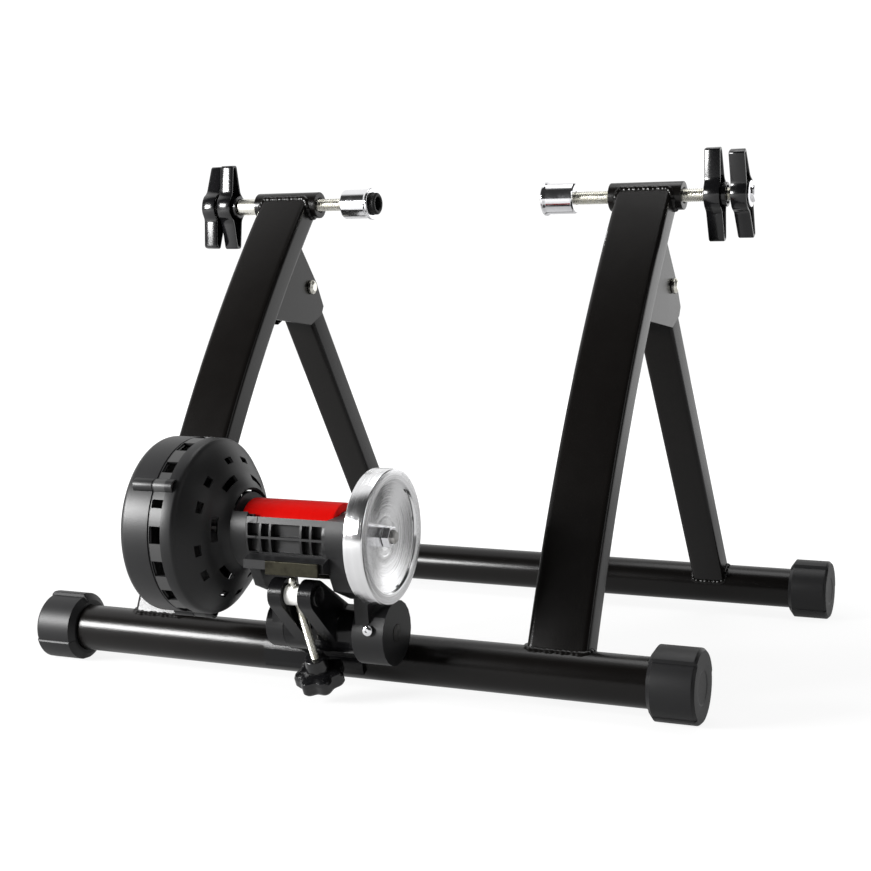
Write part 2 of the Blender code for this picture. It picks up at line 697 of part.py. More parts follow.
def make_clamp(shop, side, sign):
    """One hub clamp: cup, liner, threaded rod, lock knob, clamp knob and cap nut."""
    centre = (AXLE_SETBACK, AXLE_HEIGHT)
    cup_floor = make_hub_cup(shop, side, sign)
    insert_outer = ROD_RADIUS + RUN_GAP + INSERT_WALL
    low, high = make_wing_knob(shop, f"lock_{side}", LOCK_BOSS, insert_outer + SEAT_GAP)
    insert = tube(low, high, insert_outer, ROD_RADIUS + RUN_GAP, centre, COARSE)
    shop.add(f"lock_insert_{side}", insert, "zinc", (low, *centre))
    if side == "left":
        sleeve_end = -upright_x - SLEEVE_LENGTH / 2 - SEAT_GAP
        collar = tube(high + SEAT_GAP, sleeve_end, COLLAR_RADIUS, ROD_RADIUS + RUN_GAP, centre, COARSE)
        shop.add("spacer_collar_left", collar, "zinc", (sleeve_end, *centre))
    low, high = make_wing_knob(shop, f"clamp_{side}", 0, ROD_RADIUS + SEAT_GAP)
    face = (high if sign > 0 else low) + sign * SEAT_GAP
    tail = face + sign * CAP_NUT_HEIGHT * 0.5
    head = cup_floor + sign * SEAT_GAP
    nose = [(head, 0), (head, ROD_RADIUS - 0.0006), (head + sign * 0.001, ROD_RADIUS)]
    rod = nose + [(tail, ROD_RADIUS), (tail, 0)]
    shop.add(f"clamp_rod_{side}", lathe(rod, centre, COARSE), "zinc", (head, *centre))
    make_cap_nut(shop, side, sign, face, tail)


def make_cap_nut(shop, side, sign, face, tail):
    """The closed flange nut on the rod's outer end."""
    centre = (AXLE_SETBACK, AXLE_HEIGHT)
    end = face + sign * CAP_NUT_HEIGHT
    step = face + sign * 0.0015
    hole = ROD_RADIUS + SEAT_GAP
    profile = [(end, CAP_NUT_RADIUS * 0.5), (end - sign * 0.0015, CAP_NUT_RADIUS), (step, CAP_NUT_RADIUS),
               (step, CAP_NUT_FLANGE), (face, CAP_NUT_FLANGE), (face, hole), (tail + sign * SEAT_GAP, hole)]
    rings = [ring_x(x, radius, centre, COARSE) for x, radius in profile]
    shop.add(f"cap_nut_{side}", loft(rings), "chrome", (face, *centre))


def spindle_centre():
    """The spindle line, as (y, z)."""
    return spindle_y, SPINDLE_HEIGHT


def at_spindle(points):
    """Shift (y, z) points given from the spindle line."""
    y, z = spindle_centre()
    return [(y + a, z + b) for a, b in points]


def make_drum_back(shop):
    """The drum's back shell: a shallow cup with a rounded edge."""
    centre = spindle_centre()
    edge = DRUM_EDGE_ROUND
    rounded = [(DRUM_BACK_X + edge * (1 - math.sin(a)), DRUM_RADIUS - edge * (1 - math.cos(a)))
               for a in [math.radians(90 * i / 4) for i in range(5)]]
    seam = DRUM_SEAM_X - SEAT_GAP / 2
    inside = DRUM_RADIUS - DRUM_WALL
    inner_edge = max(edge - DRUM_WALL, 0.001)
    profile = [(seam, DRUM_RADIUS)] + rounded
    rings = [ring_x(x, radius, centre, FINE) for x, radius in reversed(profile)]
    rings.append(ring_x(seam, inside, centre, FINE))
    rings.append(ring_x(DRUM_BACK_X + DRUM_WALL + inner_edge, inside, centre, FINE))
    rings.append(ring_x(DRUM_BACK_X + DRUM_WALL, inside - inner_edge, centre, FINE))
    piece = shop.add("drum_back_shell", loft(rings), "grey_plastic")
    hole = SCREW_RADIUS + SEAT_GAP
    for angle in BOSS_ANGLES:
        middle = boss_centre(angle)
        shop.join(piece, bar(DRUM_BACK_X + DRUM_EDGE_ROUND * 1.5, seam, SCREW_BOSS_RADIUS, middle, COARSE))
        shop.cut(piece, bar(seam - SCREW_DEPTH - SIDE_GAP, seam + 0.01, hole, middle, COARSE))


def boss_centre(angle):
    """The centre of a screw boss on the drum's edge."""
    centre = spindle_centre()
    turn = math.radians(angle)
    reach = DRUM_RADIUS - SCREW_BOSS_RADIUS * 0.25
    return centre[0] + reach * math.cos(turn), centre[1] + reach * math.sin(turn)


def dome_profile():
    """The front shell's outer profile from its seam to its neck."""
    seam = DRUM_SEAM_X + SEAT_GAP / 2
    start = DRUM_BAND_X + DRUM_CORNER
    outer, inner = DRUM_RADIUS - DRUM_CORNER, NECK_RADIUS + NECK_FLARE
    points = [(seam, DRUM_RADIUS), (DRUM_BAND_X, DRUM_RADIUS), (start, outer)]
    for i in range(1, 5):
        t = i / 5
        radius = outer + (inner - outer) * t
        points.append((start + DOME_RISE * (1 - (1 - t) ** 1.6), radius))
    flare_start = start + DOME_RISE
    for i in range(4):
        turn = math.radians(90 * i / 3)
        x = flare_start + (NECK_FLARE_X - flare_start) * math.sin(turn) ** 1.2
        points.append((x, NECK_RADIUS + NECK_FLARE * (1 - math.sin(turn)) ** 1.5))
    points.append((NECK_X, NECK_RADIUS))
    return points


def neck_mouth(rise, end):
    """The room over the roller where the neck and the cradle's sleeve are open to the top."""
    y, z = spindle_centre()
    reach = 2 * NECK_RADIUS
    return block((NECK_FLARE_X, y - reach, z + rise), (end, y + reach, z + reach))


def make_drum_front(shop):
    """The drum's front shell: a band, a vented dome and a neck over the bearing spigot."""
    centre = spindle_centre()
    outer = dome_profile()
    inner = [(x - DRUM_WALL * 0.8, max(radius - DRUM_WALL * 0.6, neck_bore)) for x, radius in outer[3:-1]]
    inside = DRUM_RADIUS - DRUM_WALL
    profile = outer + [(outer[-1][0], neck_bore)]
    profile += list(reversed(inner))[1:]
    profile += [(DRUM_BAND_X - DRUM_WALL * 0.5, inside - 0.001), (outer[0][0], inside)]
    piece = shop.add("drum_front_shell", lathe(profile, centre, FINE), "grey_plastic")
    seam = outer[0][0]
    floor = seam + SCREW_SEAT
    for angle in BOSS_ANGLES:
        middle = boss_centre(angle)
        shop.join(piece, bar(seam, floor + 0.004, SCREW_BOSS_RADIUS, middle, COARSE))
        shop.cut(piece, bar(seam - 0.01, floor, SCREW_RADIUS + SEAT_GAP, middle, COARSE))
        shop.cut(piece, bar(floor, seam + 0.03, SCREW_HEAD_RADIUS + SEAT_GAP, middle, COARSE))
    shop.cut(piece, rim_vents())
    shop.cut(piece, dome_vents())
    shop.cut(piece, neck_mouth(NECK_MOUTH_RISE, NECK_X + SIDE_GAP))


def rim_vents():
    """Square windows round the band, beside the seam, clear of the screw bosses."""
    centre = spindle_centre()
    windows = []
    step = 360 / RIM_VENTS
    low_x = DRUM_SEAM_X + 0.0012
    for i in range(RIM_VENTS):
        angle = i * step
        if min(abs((angle - boss + 180) % 360 - 180) for boss in BOSS_ANGLES) < step * 0.42:
            continue
        half = RIM_VENT_HEIGHT / 2
        low = (low_x, centre[0] + DRUM_RADIUS - 2.2 * DRUM_WALL, centre[1] - half)
        high = (low_x + RIM_VENT_WIDTH, centre[0] + DRUM_RADIUS + DRUM_WALL, centre[1] + half)
        windows.append(turned(block(low, high), angle, centre))
    return merge_meshes(windows)


def dome_vents():
    """Pairs of short slots in an outer ring and long slots in an inner one."""
    slots = []
    step = 360 / DOME_VENT_GROUPS
    for i in range(DOME_VENT_GROUPS):
        middle = step * i + DOME_VENT_START
        for offset in (-DOME_VENT_SPREAD, DOME_VENT_SPREAD):
            slots.append(vent_slot(DOME_OUTER_VENT_RADIUS, DOME_OUTER_VENT_LENGTH, middle + offset))
        slots.append(vent_slot(DOME_INNER_VENT_RADIUS, DOME_INNER_VENT_LENGTH, middle + step / 2))
    return merge_meshes(slots)


def vent_slot(radius, length, angle):
    """One slot through the dome, at an angle round the spindle."""
    centre = spindle_centre()
    half = DOME_VENT_WIDTH / 2
    low = (DRUM_BAND_X - 0.012, centre[0] + radius - half, centre[1] - length / 2)
    high = (NECK_X + 0.01, centre[0] + radius + half, centre[1] + length / 2)
    return turned(block(low, high), angle, centre)


def make_drum_screws(shop):
    """The screws that hold the drum's two shells together."""
    seam = DRUM_SEAM_X + SEAT_GAP / 2
    head = seam + SCREW_SEAT + SEAT_GAP
    tail = seam - SCREW_DEPTH
    for number, angle in enumerate(BOSS_ANGLES, start=1):
        centre = boss_centre(angle)
        profile = [(tail, 0), (tail, SCREW_RADIUS), (head, SCREW_RADIUS),
                   (head, SCREW_HEAD_RADIUS), (head + SCREW_HEAD_HEIGHT, SCREW_HEAD_RADIUS * 0.8),
                   (head + SCREW_HEAD_HEIGHT, 0)]
        shop.add(f"drum_screw_{number}", lathe(profile, centre, COARSE), "zinc")


def make_magnets(shop):
    """The magnet carrier on the back shell and its magnets, facing the rotor."""
    centre = spindle_centre()
    back = DRUM_BACK_X + DRUM_WALL + SEAT_GAP
    face = back + CARRIER_THICKNESS
    carrier = tube(back, face, MAGNET_CIRCLE + MAGNET_SIZE / 2 + 0.002,
                   MAGNET_CIRCLE - MAGNET_SIZE / 2 - 0.006, centre, MEDIUM)
    shop.add("magnet_carrier", carrier, "zinc")
    for number in range(1, MAGNET_COUNT + 1):
        half = MAGNET_SIZE / 2
        low = (face + SEAT_GAP, centre[0] + MAGNET_CIRCLE - half, centre[1] - half)
        high = (face + SEAT_GAP + MAGNET_THICKNESS, centre[0] + MAGNET_CIRCLE + half, centre[1] + half)
        magnet = turned(block(low, high), 360 / MAGNET_COUNT * (number - 0.5), centre)
        shop.add(f"magnet_{number}", magnet, "magnet")


def cradle_front(proud=0.0):
    """The cradle's rounded front, from its lip down to its shelf, from the spindle."""
    radius = CRADLE_FRONT + proud
    lip = math.degrees(math.asin(CRADLE_LIP / radius))
    shelf = math.degrees(math.asin(SHELF_DROP / radius))
    return arc((0, 0), radius, 180 - lip, 180 + shelf, 5)


def cradle_trough_outline():
    """The trough's section round the roller: open to the top and the back."""
    back = [(CRADLE_BACK - 0.0005, -CRADLE_BELLY * 0.42), (CRADLE_BACK, -CRADLE_BELLY * 0.24)]
    return at_spindle(cradle_front() + [(SEAT_FRONT[0], -SHELF_EDGE), SEAT_FRONT, SEAT_BACK,
                                        (-0.18 * CRADLE_BELLY, -CRADLE_BELLY), (0.36 * CRADLE_BELLY, -CRADLE_BELLY),
                                        (0.72 * CRADLE_BELLY, -0.78 * CRADLE_BELLY)] + back)


def wall_front():
    """The front and the underside that both side walls share, down to their heel."""
    return cradle_front(WALL_PROUD) + [WALL_SHIN, WALL_FOOT, WALL_HEEL]


def left_wall_outline():
    """The left wall's section, which runs on down into its knuckle as the left arm."""
    drop = PIVOT_HEIGHT - SPINDLE_HEIGHT
    shift = pivot_y - spindle_y
    arm = [(shift - KNUCKLE_RADIUS * 0.97, drop + KNUCKLE_RADIUS * 0.2),
           (shift - KNUCKLE_RADIUS * 0.5, drop - KNUCKLE_RADIUS * 0.3),
           (shift + KNUCKLE_RADIUS * 0.9, drop + KNUCKLE_RADIUS * 0.1)]
    return at_spindle(wall_front() + arm + [WALL_REAR, (CRADLE_BACK - 0.002, -CRADLE_BELLY * 0.34)])


def right_block_outline():
    """The right bearing block's section."""
    return at_spindle(wall_front() + [WALL_REAR, (CRADLE_BACK * 0.9, -0.006), (CRADLE_BACK * 0.6, CRADLE_LIP),
                                      (0.0, CRADLE_LIP + 0.0025)])


def right_arm_outline():
    """The right arm's section, from the bearing block down to the barrel."""
    drop = PIVOT_HEIGHT - SPINDLE_HEIGHT
    shift = pivot_y - spindle_y
    return at_spindle([(RIGHT_ARM_FRONT, -CRADLE_BELLY), (RIGHT_ARM_FRONT, WALL_HEEL[1]),
                       (shift - BARREL_RADIUS * 0.9, drop + BARREL_RADIUS * 0.16), (shift, drop - BARREL_RADIUS * 0.24),
                       (shift + BARREL_RADIUS * 0.9, drop + BARREL_RADIUS * 0.16),
                       (WALL_REAR[0] - 0.001, -CRADLE_BELLY)])


def rib_pockets():
    """Pockets in the cradle's front that leave upright and level ribs between them."""
    y, z = spindle_centre()
    half = RIB_THICKNESS / 2
    past = 0.01
    pockets = []
    for left, right in zip(RIB_POSTS, RIB_POSTS[1:]):
        for top, bottom in zip(RIB_LEVELS, RIB_LEVELS[1:]):
            low = (left + half, y - CRADLE_FRONT - past, z + bottom + half)
            high = (right - half, y - RIB_FLOOR, z + top - half)
            pockets.append(block(low, high))
    return merge_meshes(pockets)


def make_cradle(shop):
    """The moulded cradle: trough, drum spigot, side walls, arms, knuckle and pivot barrel."""
    centre = spindle_centre()
    pivot = (pivot_y, PIVOT_HEIGHT)
    lap = 0.002
    sliver = 0.0002
    past = 0.01
    sleeve_radius_out = neck_bore - SEAT_GAP
    piece = shop.add("cradle", prism(cradle_trough_outline(), CRADLE_LEFT_X + lap, CRADLE_BLOCK_X + lap),
                     "grey_plastic", (0, *pivot))
    shop.join(piece, prism(left_wall_outline(), CRADLE_LEFT_X, CRADLE_LEFT_X + LEFT_WALL))
    shop.join(piece, prism(right_block_outline(), CRADLE_BLOCK_X, CRADLE_END_X))
    shop.join(piece, prism(right_arm_outline(), RIGHT_ARM_X, CRADLE_END_X - sliver))
    shop.join(piece, bar(CRADLE_WALL_X, CRADLE_LEFT_X + lap / 2, sleeve_radius_out, centre, FINE))
    shop.cut(piece, bar(CRADLE_FLOOR_X, CRADLE_BLOCK_X + sliver, CAVITY_RADIUS, centre, FINE))
    shop.cut(piece, neck_mouth(NECK_MOUTH_RISE - sliver, CRADLE_LEFT_X + lap))
    shop.join(piece, bar(spigot_x, CRADLE_WALL_X + lap / 2, SPIGOT_RADIUS, centre, MEDIUM))
    shop.cut(piece, rib_pockets())
    shop.join(piece, bar(KNUCKLE_START_X, KNUCKLE_END_X, KNUCKLE_RADIUS, pivot, MEDIUM))
    shop.join(piece, bar(BARREL_START_X, BARREL_END_X, BARREL_RADIUS, pivot, MEDIUM))
    shop.cut(piece, bar(spigot_x - past, CRADLE_END_X + past, SHAFT_RADIUS + 2 * SIDE_GAP, centre, COARSE))
    shop.cut(piece, bar(spigot_x - past, left_bearing_x + BEARING_WIDTH + SEAT_GAP, BEARING_RADIUS + SEAT_GAP,
                        centre, MEDIUM))
    shop.cut(piece, bar(right_bearing_x - SEAT_GAP, CRADLE_END_X + past, BEARING_RADIUS + SEAT_GAP, centre,
                        MEDIUM))
    shop.cut(piece, bar(KNUCKLE_START_X - past, BARREL_END_X + past, PIVOT_BOLT_RADIUS + RUN_GAP, pivot,
                        COARSE))
    shop.cut(piece, bar(barrel_floor, BARREL_END_X + past, PIVOT_HEAD_RADIUS + SEAT_GAP, pivot, COARSE))


def make_bearings(shop):
    """One bearing in the spigot and one in the right block."""
    centre = spindle_centre()
    for side, start in (("left", left_bearing_x), ("right", right_bearing_x)):
        mesh = tube(start, start + BEARING_WIDTH, BEARING_RADIUS, SHAFT_RADIUS + SEAT_GAP, centre, MEDIUM)
        shop.add(f"spindle_bearing_{side}", mesh, "chrome", (start, *centre))


def make_spindle(shop):
    """The turning pieces: shaft, roller core, red roller sleeve, rotor, flywheel and nuts."""
    centre = spindle_centre()
    bore = SHAFT_RADIUS + SEAT_GAP
    magnet_face = DRUM_BACK_X + DRUM_WALL + CARRIER_THICKNESS + MAGNET_THICKNESS + 2 * SEAT_GAP
    rotor_start = magnet_face + ROTOR_AIR_GAP
    rotor_end = rotor_start + ROTOR_THICKNESS
    nut_start = FLYWHEEL_BACK_X + FLYWHEEL_WIDTH * FLYWHEEL_HUB_SHARE + SEAT_GAP
    tail = nut_start + SPINDLE_NUT_HEIGHT + 0.003
    nose = rotor_start - 0.004
    shaft = [(nose, 0), (nose, SHAFT_RADIUS), (tail - 0.001, SHAFT_RADIUS), (tail, SHAFT_RADIUS - 0.001),
             (tail, 0)]
    shop.add("spindle_shaft", lathe(shaft, centre, COARSE), "zinc", (0, *centre))
    left, right = CRADLE_FLOOR_X + SIDE_GAP, CRADLE_BLOCK_X - SIDE_GAP
    core = ROLLER_RADIUS - ROLLER_SLEEVE_WALL
    shop.add("roller_core", tube(left, right, core - SEAT_GAP, bore, centre, MEDIUM), "zinc", (0, *centre))
    sleeve = [(left, core), (left, ROLLER_RADIUS - 0.0015), (left + 0.0015, ROLLER_RADIUS),
              (right - 0.0015, ROLLER_RADIUS), (right, ROLLER_RADIUS - 0.0015), (right, core)]
    shop.add("roller_sleeve", lathe(sleeve, centre, FINE), "red_roller", (0, *centre))
    rotor = [(rotor_start, bore), (rotor_start, ROTOR_RADIUS), (rotor_end, ROTOR_RADIUS),
             (rotor_end, ROTOR_HUB_RADIUS), (rotor_end + ROTOR_HUB_LENGTH, ROTOR_HUB_RADIUS - 0.002),
             (rotor_end + ROTOR_HUB_LENGTH, bore)]
    shop.add("brake_rotor", lathe(rotor, centre, FINE), "aluminium", (0, *centre))
    make_flywheel(shop, bore)
    nut = shop.add("flywheel_nut", prism(hexagon(SPINDLE_NUT_RADIUS, centre), nut_start,
                                         nut_start + SPINDLE_NUT_HEIGHT), "chrome", (0, *centre))
    shop.cut(nut, bar(nut_start - 0.01, nut_start + 0.02, bore, centre, COARSE))


def make_flywheel(shop, bore):
    """The turned flywheel: a flat rim, a dished face and a hub."""
    centre = spindle_centre()
    back, face = FLYWHEEL_BACK_X, FLYWHEEL_BACK_X + FLYWHEEL_WIDTH
    inside = FLYWHEEL_RADIUS - FLYWHEEL_RIM
    hub_face = back + FLYWHEEL_WIDTH * FLYWHEEL_HUB_SHARE
    dish_edge = inside - FLYWHEEL_BEVEL
    chamfer = 0.0008
    profile = [(back, bore), (back, FLYWHEEL_HUB_RADIUS), (back + 0.003, FLYWHEEL_HUB_RADIUS + 0.002),
               (back + 0.003, inside - 0.004), (back, inside),
               (back, FLYWHEEL_RADIUS - chamfer), (back + chamfer, FLYWHEEL_RADIUS),
               (face - chamfer, FLYWHEEL_RADIUS), (face, FLYWHEEL_RADIUS - chamfer), (face, inside),
               (face - FLYWHEEL_STEP, dish_edge)]
    for i in range(1, 6):
        t = i / 5
        radius = dish_edge + (FLYWHEEL_HUB_RADIUS + 0.001 - dish_edge) * t
        profile.append((face - FLYWHEEL_STEP - FLYWHEEL_DISH * math.sin(math.pi / 2 * t), radius))
    profile += [(hub_face, FLYWHEEL_HUB_RADIUS), (hub_face, bore)]
    shop.add("flywheel", lathe(profile, centre, FINE), "aluminium", (0, *centre))


def jack_direction():
    """The jack bolt's direction, up and to the front, as (y, z)."""
    lean = math.radians(JACK_LEAN)
    return -math.sin(lean), math.cos(lean)


def along_jack(mesh):
    """Turn a mesh made along X onto the jack's line, with X=0 at the trunnion and +X up."""
    y, z = jack_direction()
    up = Vector((0, y, z))
    side = Vector((1, 0, 0))
    third = side.cross(up)
    turn = Matrix((up, third, side)).transposed().to_4x4()
    mesh.transform(Matrix.Translation((0, trunnion_y, TRUNNION_HEIGHT)) @ turn)
    return mesh


def saddle_outline():
    """The curved foot that lies round the rail's top and front."""
    centre = (0, rail_z)
    outer = arc(centre, rail_radius + SADDLE_THICKNESS, SADDLE_BACK_ANGLE, SADDLE_FRONT_ANGLE, 12)
    inner = arc(centre, rail_radius * 0.9, SADDLE_FRONT_ANGLE, SADDLE_BACK_ANGLE, 12)
    return outer + inner


def make_rail_bracket(shop):
    """The cast bracket on the front rail: pivot barrel, web over the rail and two adjuster ears."""
    pivot = (pivot_y, PIVOT_HEIGHT)
    trunnion = (trunnion_y, TRUNNION_HEIGHT)
    left = KNUCKLE_END_X + SIDE_GAP
    right = BARREL_START_X - SIDE_GAP
    piece = shop.add("rail_bracket", bar(left, right, FIXED_BARREL_RADIUS, pivot, MEDIUM), "powder_black",
                     (0, *pivot))
    web = [(pivot_y - 0.3 * FIXED_BARREL_RADIUS, PIVOT_HEIGHT - 0.8 * FIXED_BARREL_RADIUS),
           (pivot_y + 0.3 * FIXED_BARREL_RADIUS, PIVOT_HEIGHT + 0.8 * FIXED_BARREL_RADIUS),
           (0.2 * rail_radius, rail_z + 1.35 * rail_radius), (0.6 * rail_radius, rail_z + 0.9 * rail_radius),
           (0, rail_z), (-0.98 * rail_radius, rail_z)]
    shop.join(piece, prism(web, left + SIDE_GAP, SADDLE_RIGHT - SIDE_GAP))
    shop.join(piece, prism(saddle_outline(), SADDLE_LEFT, SADDLE_RIGHT))
    for sign in (-1, 1):
        middle = sign * EAR_SPREAD
        ear = link_outline(pivot, FIXED_BARREL_RADIUS - 0.002, trunnion, EAR_RADIUS)
        shop.join(piece, prism(ear, middle - EAR_THICKNESS / 2, middle + EAR_THICKNESS / 2))
    shop.cut(piece, bar(SADDLE_LEFT - 0.02, right + 0.02, rail_radius + SEAT_GAP, (0, rail_z), FINE))
    shop.cut(piece, bar(left - 0.02, right + 0.02, PIVOT_BOLT_RADIUS + RUN_GAP, pivot, COARSE))
    blind = stub_end + RUN_GAP
    shop.cut(piece, bar(-blind, blind, TRUNNION_STUB_RADIUS + RUN_GAP, trunnion, COARSE))


def make_pivot_bolt(shop):
    """The long bolt through the bracket and both arms, and its nut."""
    pivot = (pivot_y, PIVOT_HEIGHT)
    head = barrel_floor + SEAT_GAP
    nut_face = KNUCKLE_START_X - SEAT_GAP
    tail = nut_face - 0.007
    profile = [(tail, 0), (tail, PIVOT_BOLT_RADIUS), (head, PIVOT_BOLT_RADIUS), (head, PIVOT_HEAD_RADIUS),
               (head + PIVOT_HEAD_HEIGHT, PIVOT_HEAD_RADIUS), (head + PIVOT_HEAD_HEIGHT, 0)]
    shop.add("pivot_bolt", lathe(profile, pivot, COARSE), "zinc", (0, *pivot))
    flats = prism(hexagon(PIVOT_HEAD_RADIUS, pivot), nut_face - PIVOT_HEAD_HEIGHT, nut_face)
    nut = shop.add("pivot_nut", flats, "zinc", (0, *pivot))
    shop.cut(nut, bar(nut_face - 0.02, nut_face + 0.01, PIVOT_BOLT_RADIUS + SEAT_GAP, pivot, COARSE))


def make_adjuster(shop):
    """The trunnion block, the jack bolt through it, its star knob and the plate that it lifts."""
    trunnion = (trunnion_y, TRUNNION_HEIGHT)
    inner = EAR_SPREAD - EAR_THICKNESS / 2 - SEAT_GAP
    outer = stub_end
    profile = [(-outer, 0), (-outer, TRUNNION_STUB_RADIUS), (-inner, TRUNNION_STUB_RADIUS),
               (-inner, TRUNNION_RADIUS), (inner, TRUNNION_RADIUS), (inner, TRUNNION_STUB_RADIUS),
               (outer, TRUNNION_STUB_RADIUS), (outer, 0)]
    blockpiece = shop.add("trunnion_block", lathe(profile, trunnion, MEDIUM), "white_plastic", (0, *trunnion))
    shop.cut(blockpiece, along_jack(bar(-0.03, 0.03, JACK_RADIUS + RUN_GAP, (0, 0), COARSE)))
    tip = jack_tip_reach()
    buried = -JACK_HUB_REACH - STAR_HUB_HEIGHT - STAR_THICKNESS * 0.5
    bolt = [(buried, 0), (buried, JACK_RADIUS)] + [(tip - back, radius) for back, radius in jack_nose()] + [(tip, 0)]
    shop.add("jack_bolt", along_jack(lathe(bolt, (0, 0), COARSE)), "zinc", (0, *trunnion))
    make_star_knob(shop, trunnion)
    shop.add("wear_plate", prism(plate_outline(), WEAR_PLATE_LEFT, WEAR_PLATE_RIGHT), "zinc",
             (0, pivot_y, PIVOT_HEIGHT))


def plate_face(depth):
    """The two ends of the wear plate's flat part, at a depth below the shelf's seat."""
    front, back = (Vector(p) for p in at_spindle([SEAT_FRONT, SEAT_BACK]))
    along = (back - front).normalized()
    down = Vector((along[1], -along[0]))
    start = front + down * (SEAT_GAP + depth)
    return start, start + along * WEAR_PLATE_LENGTH


def plate_outline():
    """The wear plate's section: a flat part under the shelf and a lip up its front."""
    top_front, top_back = plate_face(0)
    low_front, low_back = plate_face(WEAR_PLATE_THICKNESS)
    inner = top_front[0] - SEAT_GAP
    outer = inner - WEAR_PLATE_THICKNESS
    crest = top_front[1] + WEAR_PLATE_LIP
    return [(inner, crest), (inner, top_front[1]), top_back, low_back, low_front, (outer, low_front[1]),
            (outer, crest)]


def jack_tip_reach():
    """How far the jack bolt reaches past the trunnion to the wear plate's underside."""
    start, end = plate_face(WEAR_PLATE_THICKNESS)
    heading = Vector(jack_direction())
    down = Vector((end - start)).normalized()
    normal = Vector((down[1], -down[0]))
    to_plate = start - Vector((trunnion_y, TRUNNION_HEIGHT))
    facing = heading.dot(normal)
    slant = abs(heading.cross(normal) / facing)
    nose = max(radius * slant - back for back, radius in jack_nose())
    return to_plate.dot(normal) / facing - nose - JACK_TIP_GAP


def jack_nose():
    """The bolt's rounded tip: distances back from its end, and radii."""
    return (0.0035, JACK_RADIUS), (0.0012, JACK_RADIUS * 0.7), (0.0, JACK_RADIUS * 0.2)


def make_star_knob(shop, trunnion):
    """The star knob on the jack bolt's lower end: a hub and a lobed grip."""
    top = -JACK_HUB_REACH
    grip = top - STAR_HUB_HEIGHT
    bottom = grip - STAR_THICKNESS
    count = STAR_LOBES * 8
    rings = []
    for x, shrink in ((grip, 0.002), (grip - 0.002, 0.0), (bottom + 0.002, 0.0), (bottom, 0.002)):
        ring = []
        for i in range(count):
            turn = 2 * math.pi * i / count
            radius = STAR_RADIUS - STAR_LOBE_DEPTH * (1 - math.cos(STAR_LOBES * turn)) / 2 - shrink
            ring.append((x, radius * math.cos(turn), radius * math.sin(turn)))
        rings.append(ring)
    piece = shop.add("star_knob", along_jack(loft(rings)), "gloss_plastic", (0, *trunnion))
    hub = lathe([(top, 0), (top, STAR_HUB_RADIUS * 0.8), (grip - 0.003, STAR_HUB_RADIUS), (grip - 0.003, 0)],
                (0, 0), MEDIUM)
    shop.join(piece, along_jack(hub))
    hole = bar(top + 0.01, grip - STAR_THICKNESS * 0.5 - SEAT_GAP, JACK_RADIUS + SEAT_GAP, (0, 0), COARSE)
    shop.cut(piece, along_jack(hole))


def make_barrel_screw(shop):
    """The small screw head on the front of the pivot barrel."""
    face = pivot_y - BARREL_RADIUS - SEAT_GAP
    mesh = lathe([(0, 0), (0, BARREL_SCREW_RADIUS), (0.0015, BARREL_SCREW_RADIUS),
                  (0.0028, BARREL_SCREW_RADIUS * 0.6), (0.0028, 0)], (0, 0), COARSE)
    place = Matrix.Translation((BARREL_SCREW_X, face, PIVOT_HEIGHT + BARREL_SCREW_RISE))
    mesh.transform(place @ Matrix.Rotation(-math.pi / 2, 4, "Z"))
    shop.add("barrel_screw", mesh, "zinc")


def make_frame(shop):
    """The front frame and the folding rear frame."""
    make_rail(shop, "front_rail", FRONT_RAIL_LENGTH, 0)
    make_rail(shop, "rear_rail", REAR_RAIL_LENGTH, RAIL_SPACING)
    for side, sign in SIDES.items():
        make_upright(shop, side, sign)
        make_sleeve(shop, side, sign)
        make_leg(shop, side, sign)
        make_fold_bracket(shop, side, sign)
        make_fold_bolt(shop, side, sign)
        make_foot(shop, f"front_{side}", sign, 0, FRONT_RAIL_LENGTH)
        make_foot(shop, f"rear_{side}", sign, RAIL_SPACING, REAR_RAIL_LENGTH)
        make_clamp(shop, side, sign)


def make_unit(shop):
    """The resistance unit, its pivot and its adjuster."""
    make_drum_back(shop)
    make_drum_front(shop)
    make_drum_screws(shop)
    make_magnets(shop)
    make_cradle(shop)
    make_bearings(shop)
    make_spindle(shop)
    make_rail_bracket(shop)
    make_pivot_bolt(shop)
    make_adjuster(shop)
    make_barrel_screw(shop)


def main():
    """Build every piece."""
    shop = Workshop()
    make_frame(shop)
    make_unit(shop)


main()
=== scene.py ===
"""The looks of a folding wheel-on bicycle trainer, fitted round its packed model."""
from __future__ import annotations

import json
import logging
import math
from dataclasses import dataclass, replace
from enum import Enum

import bmesh
import bpy
import numpy as np
from mathutils import Matrix, Vector


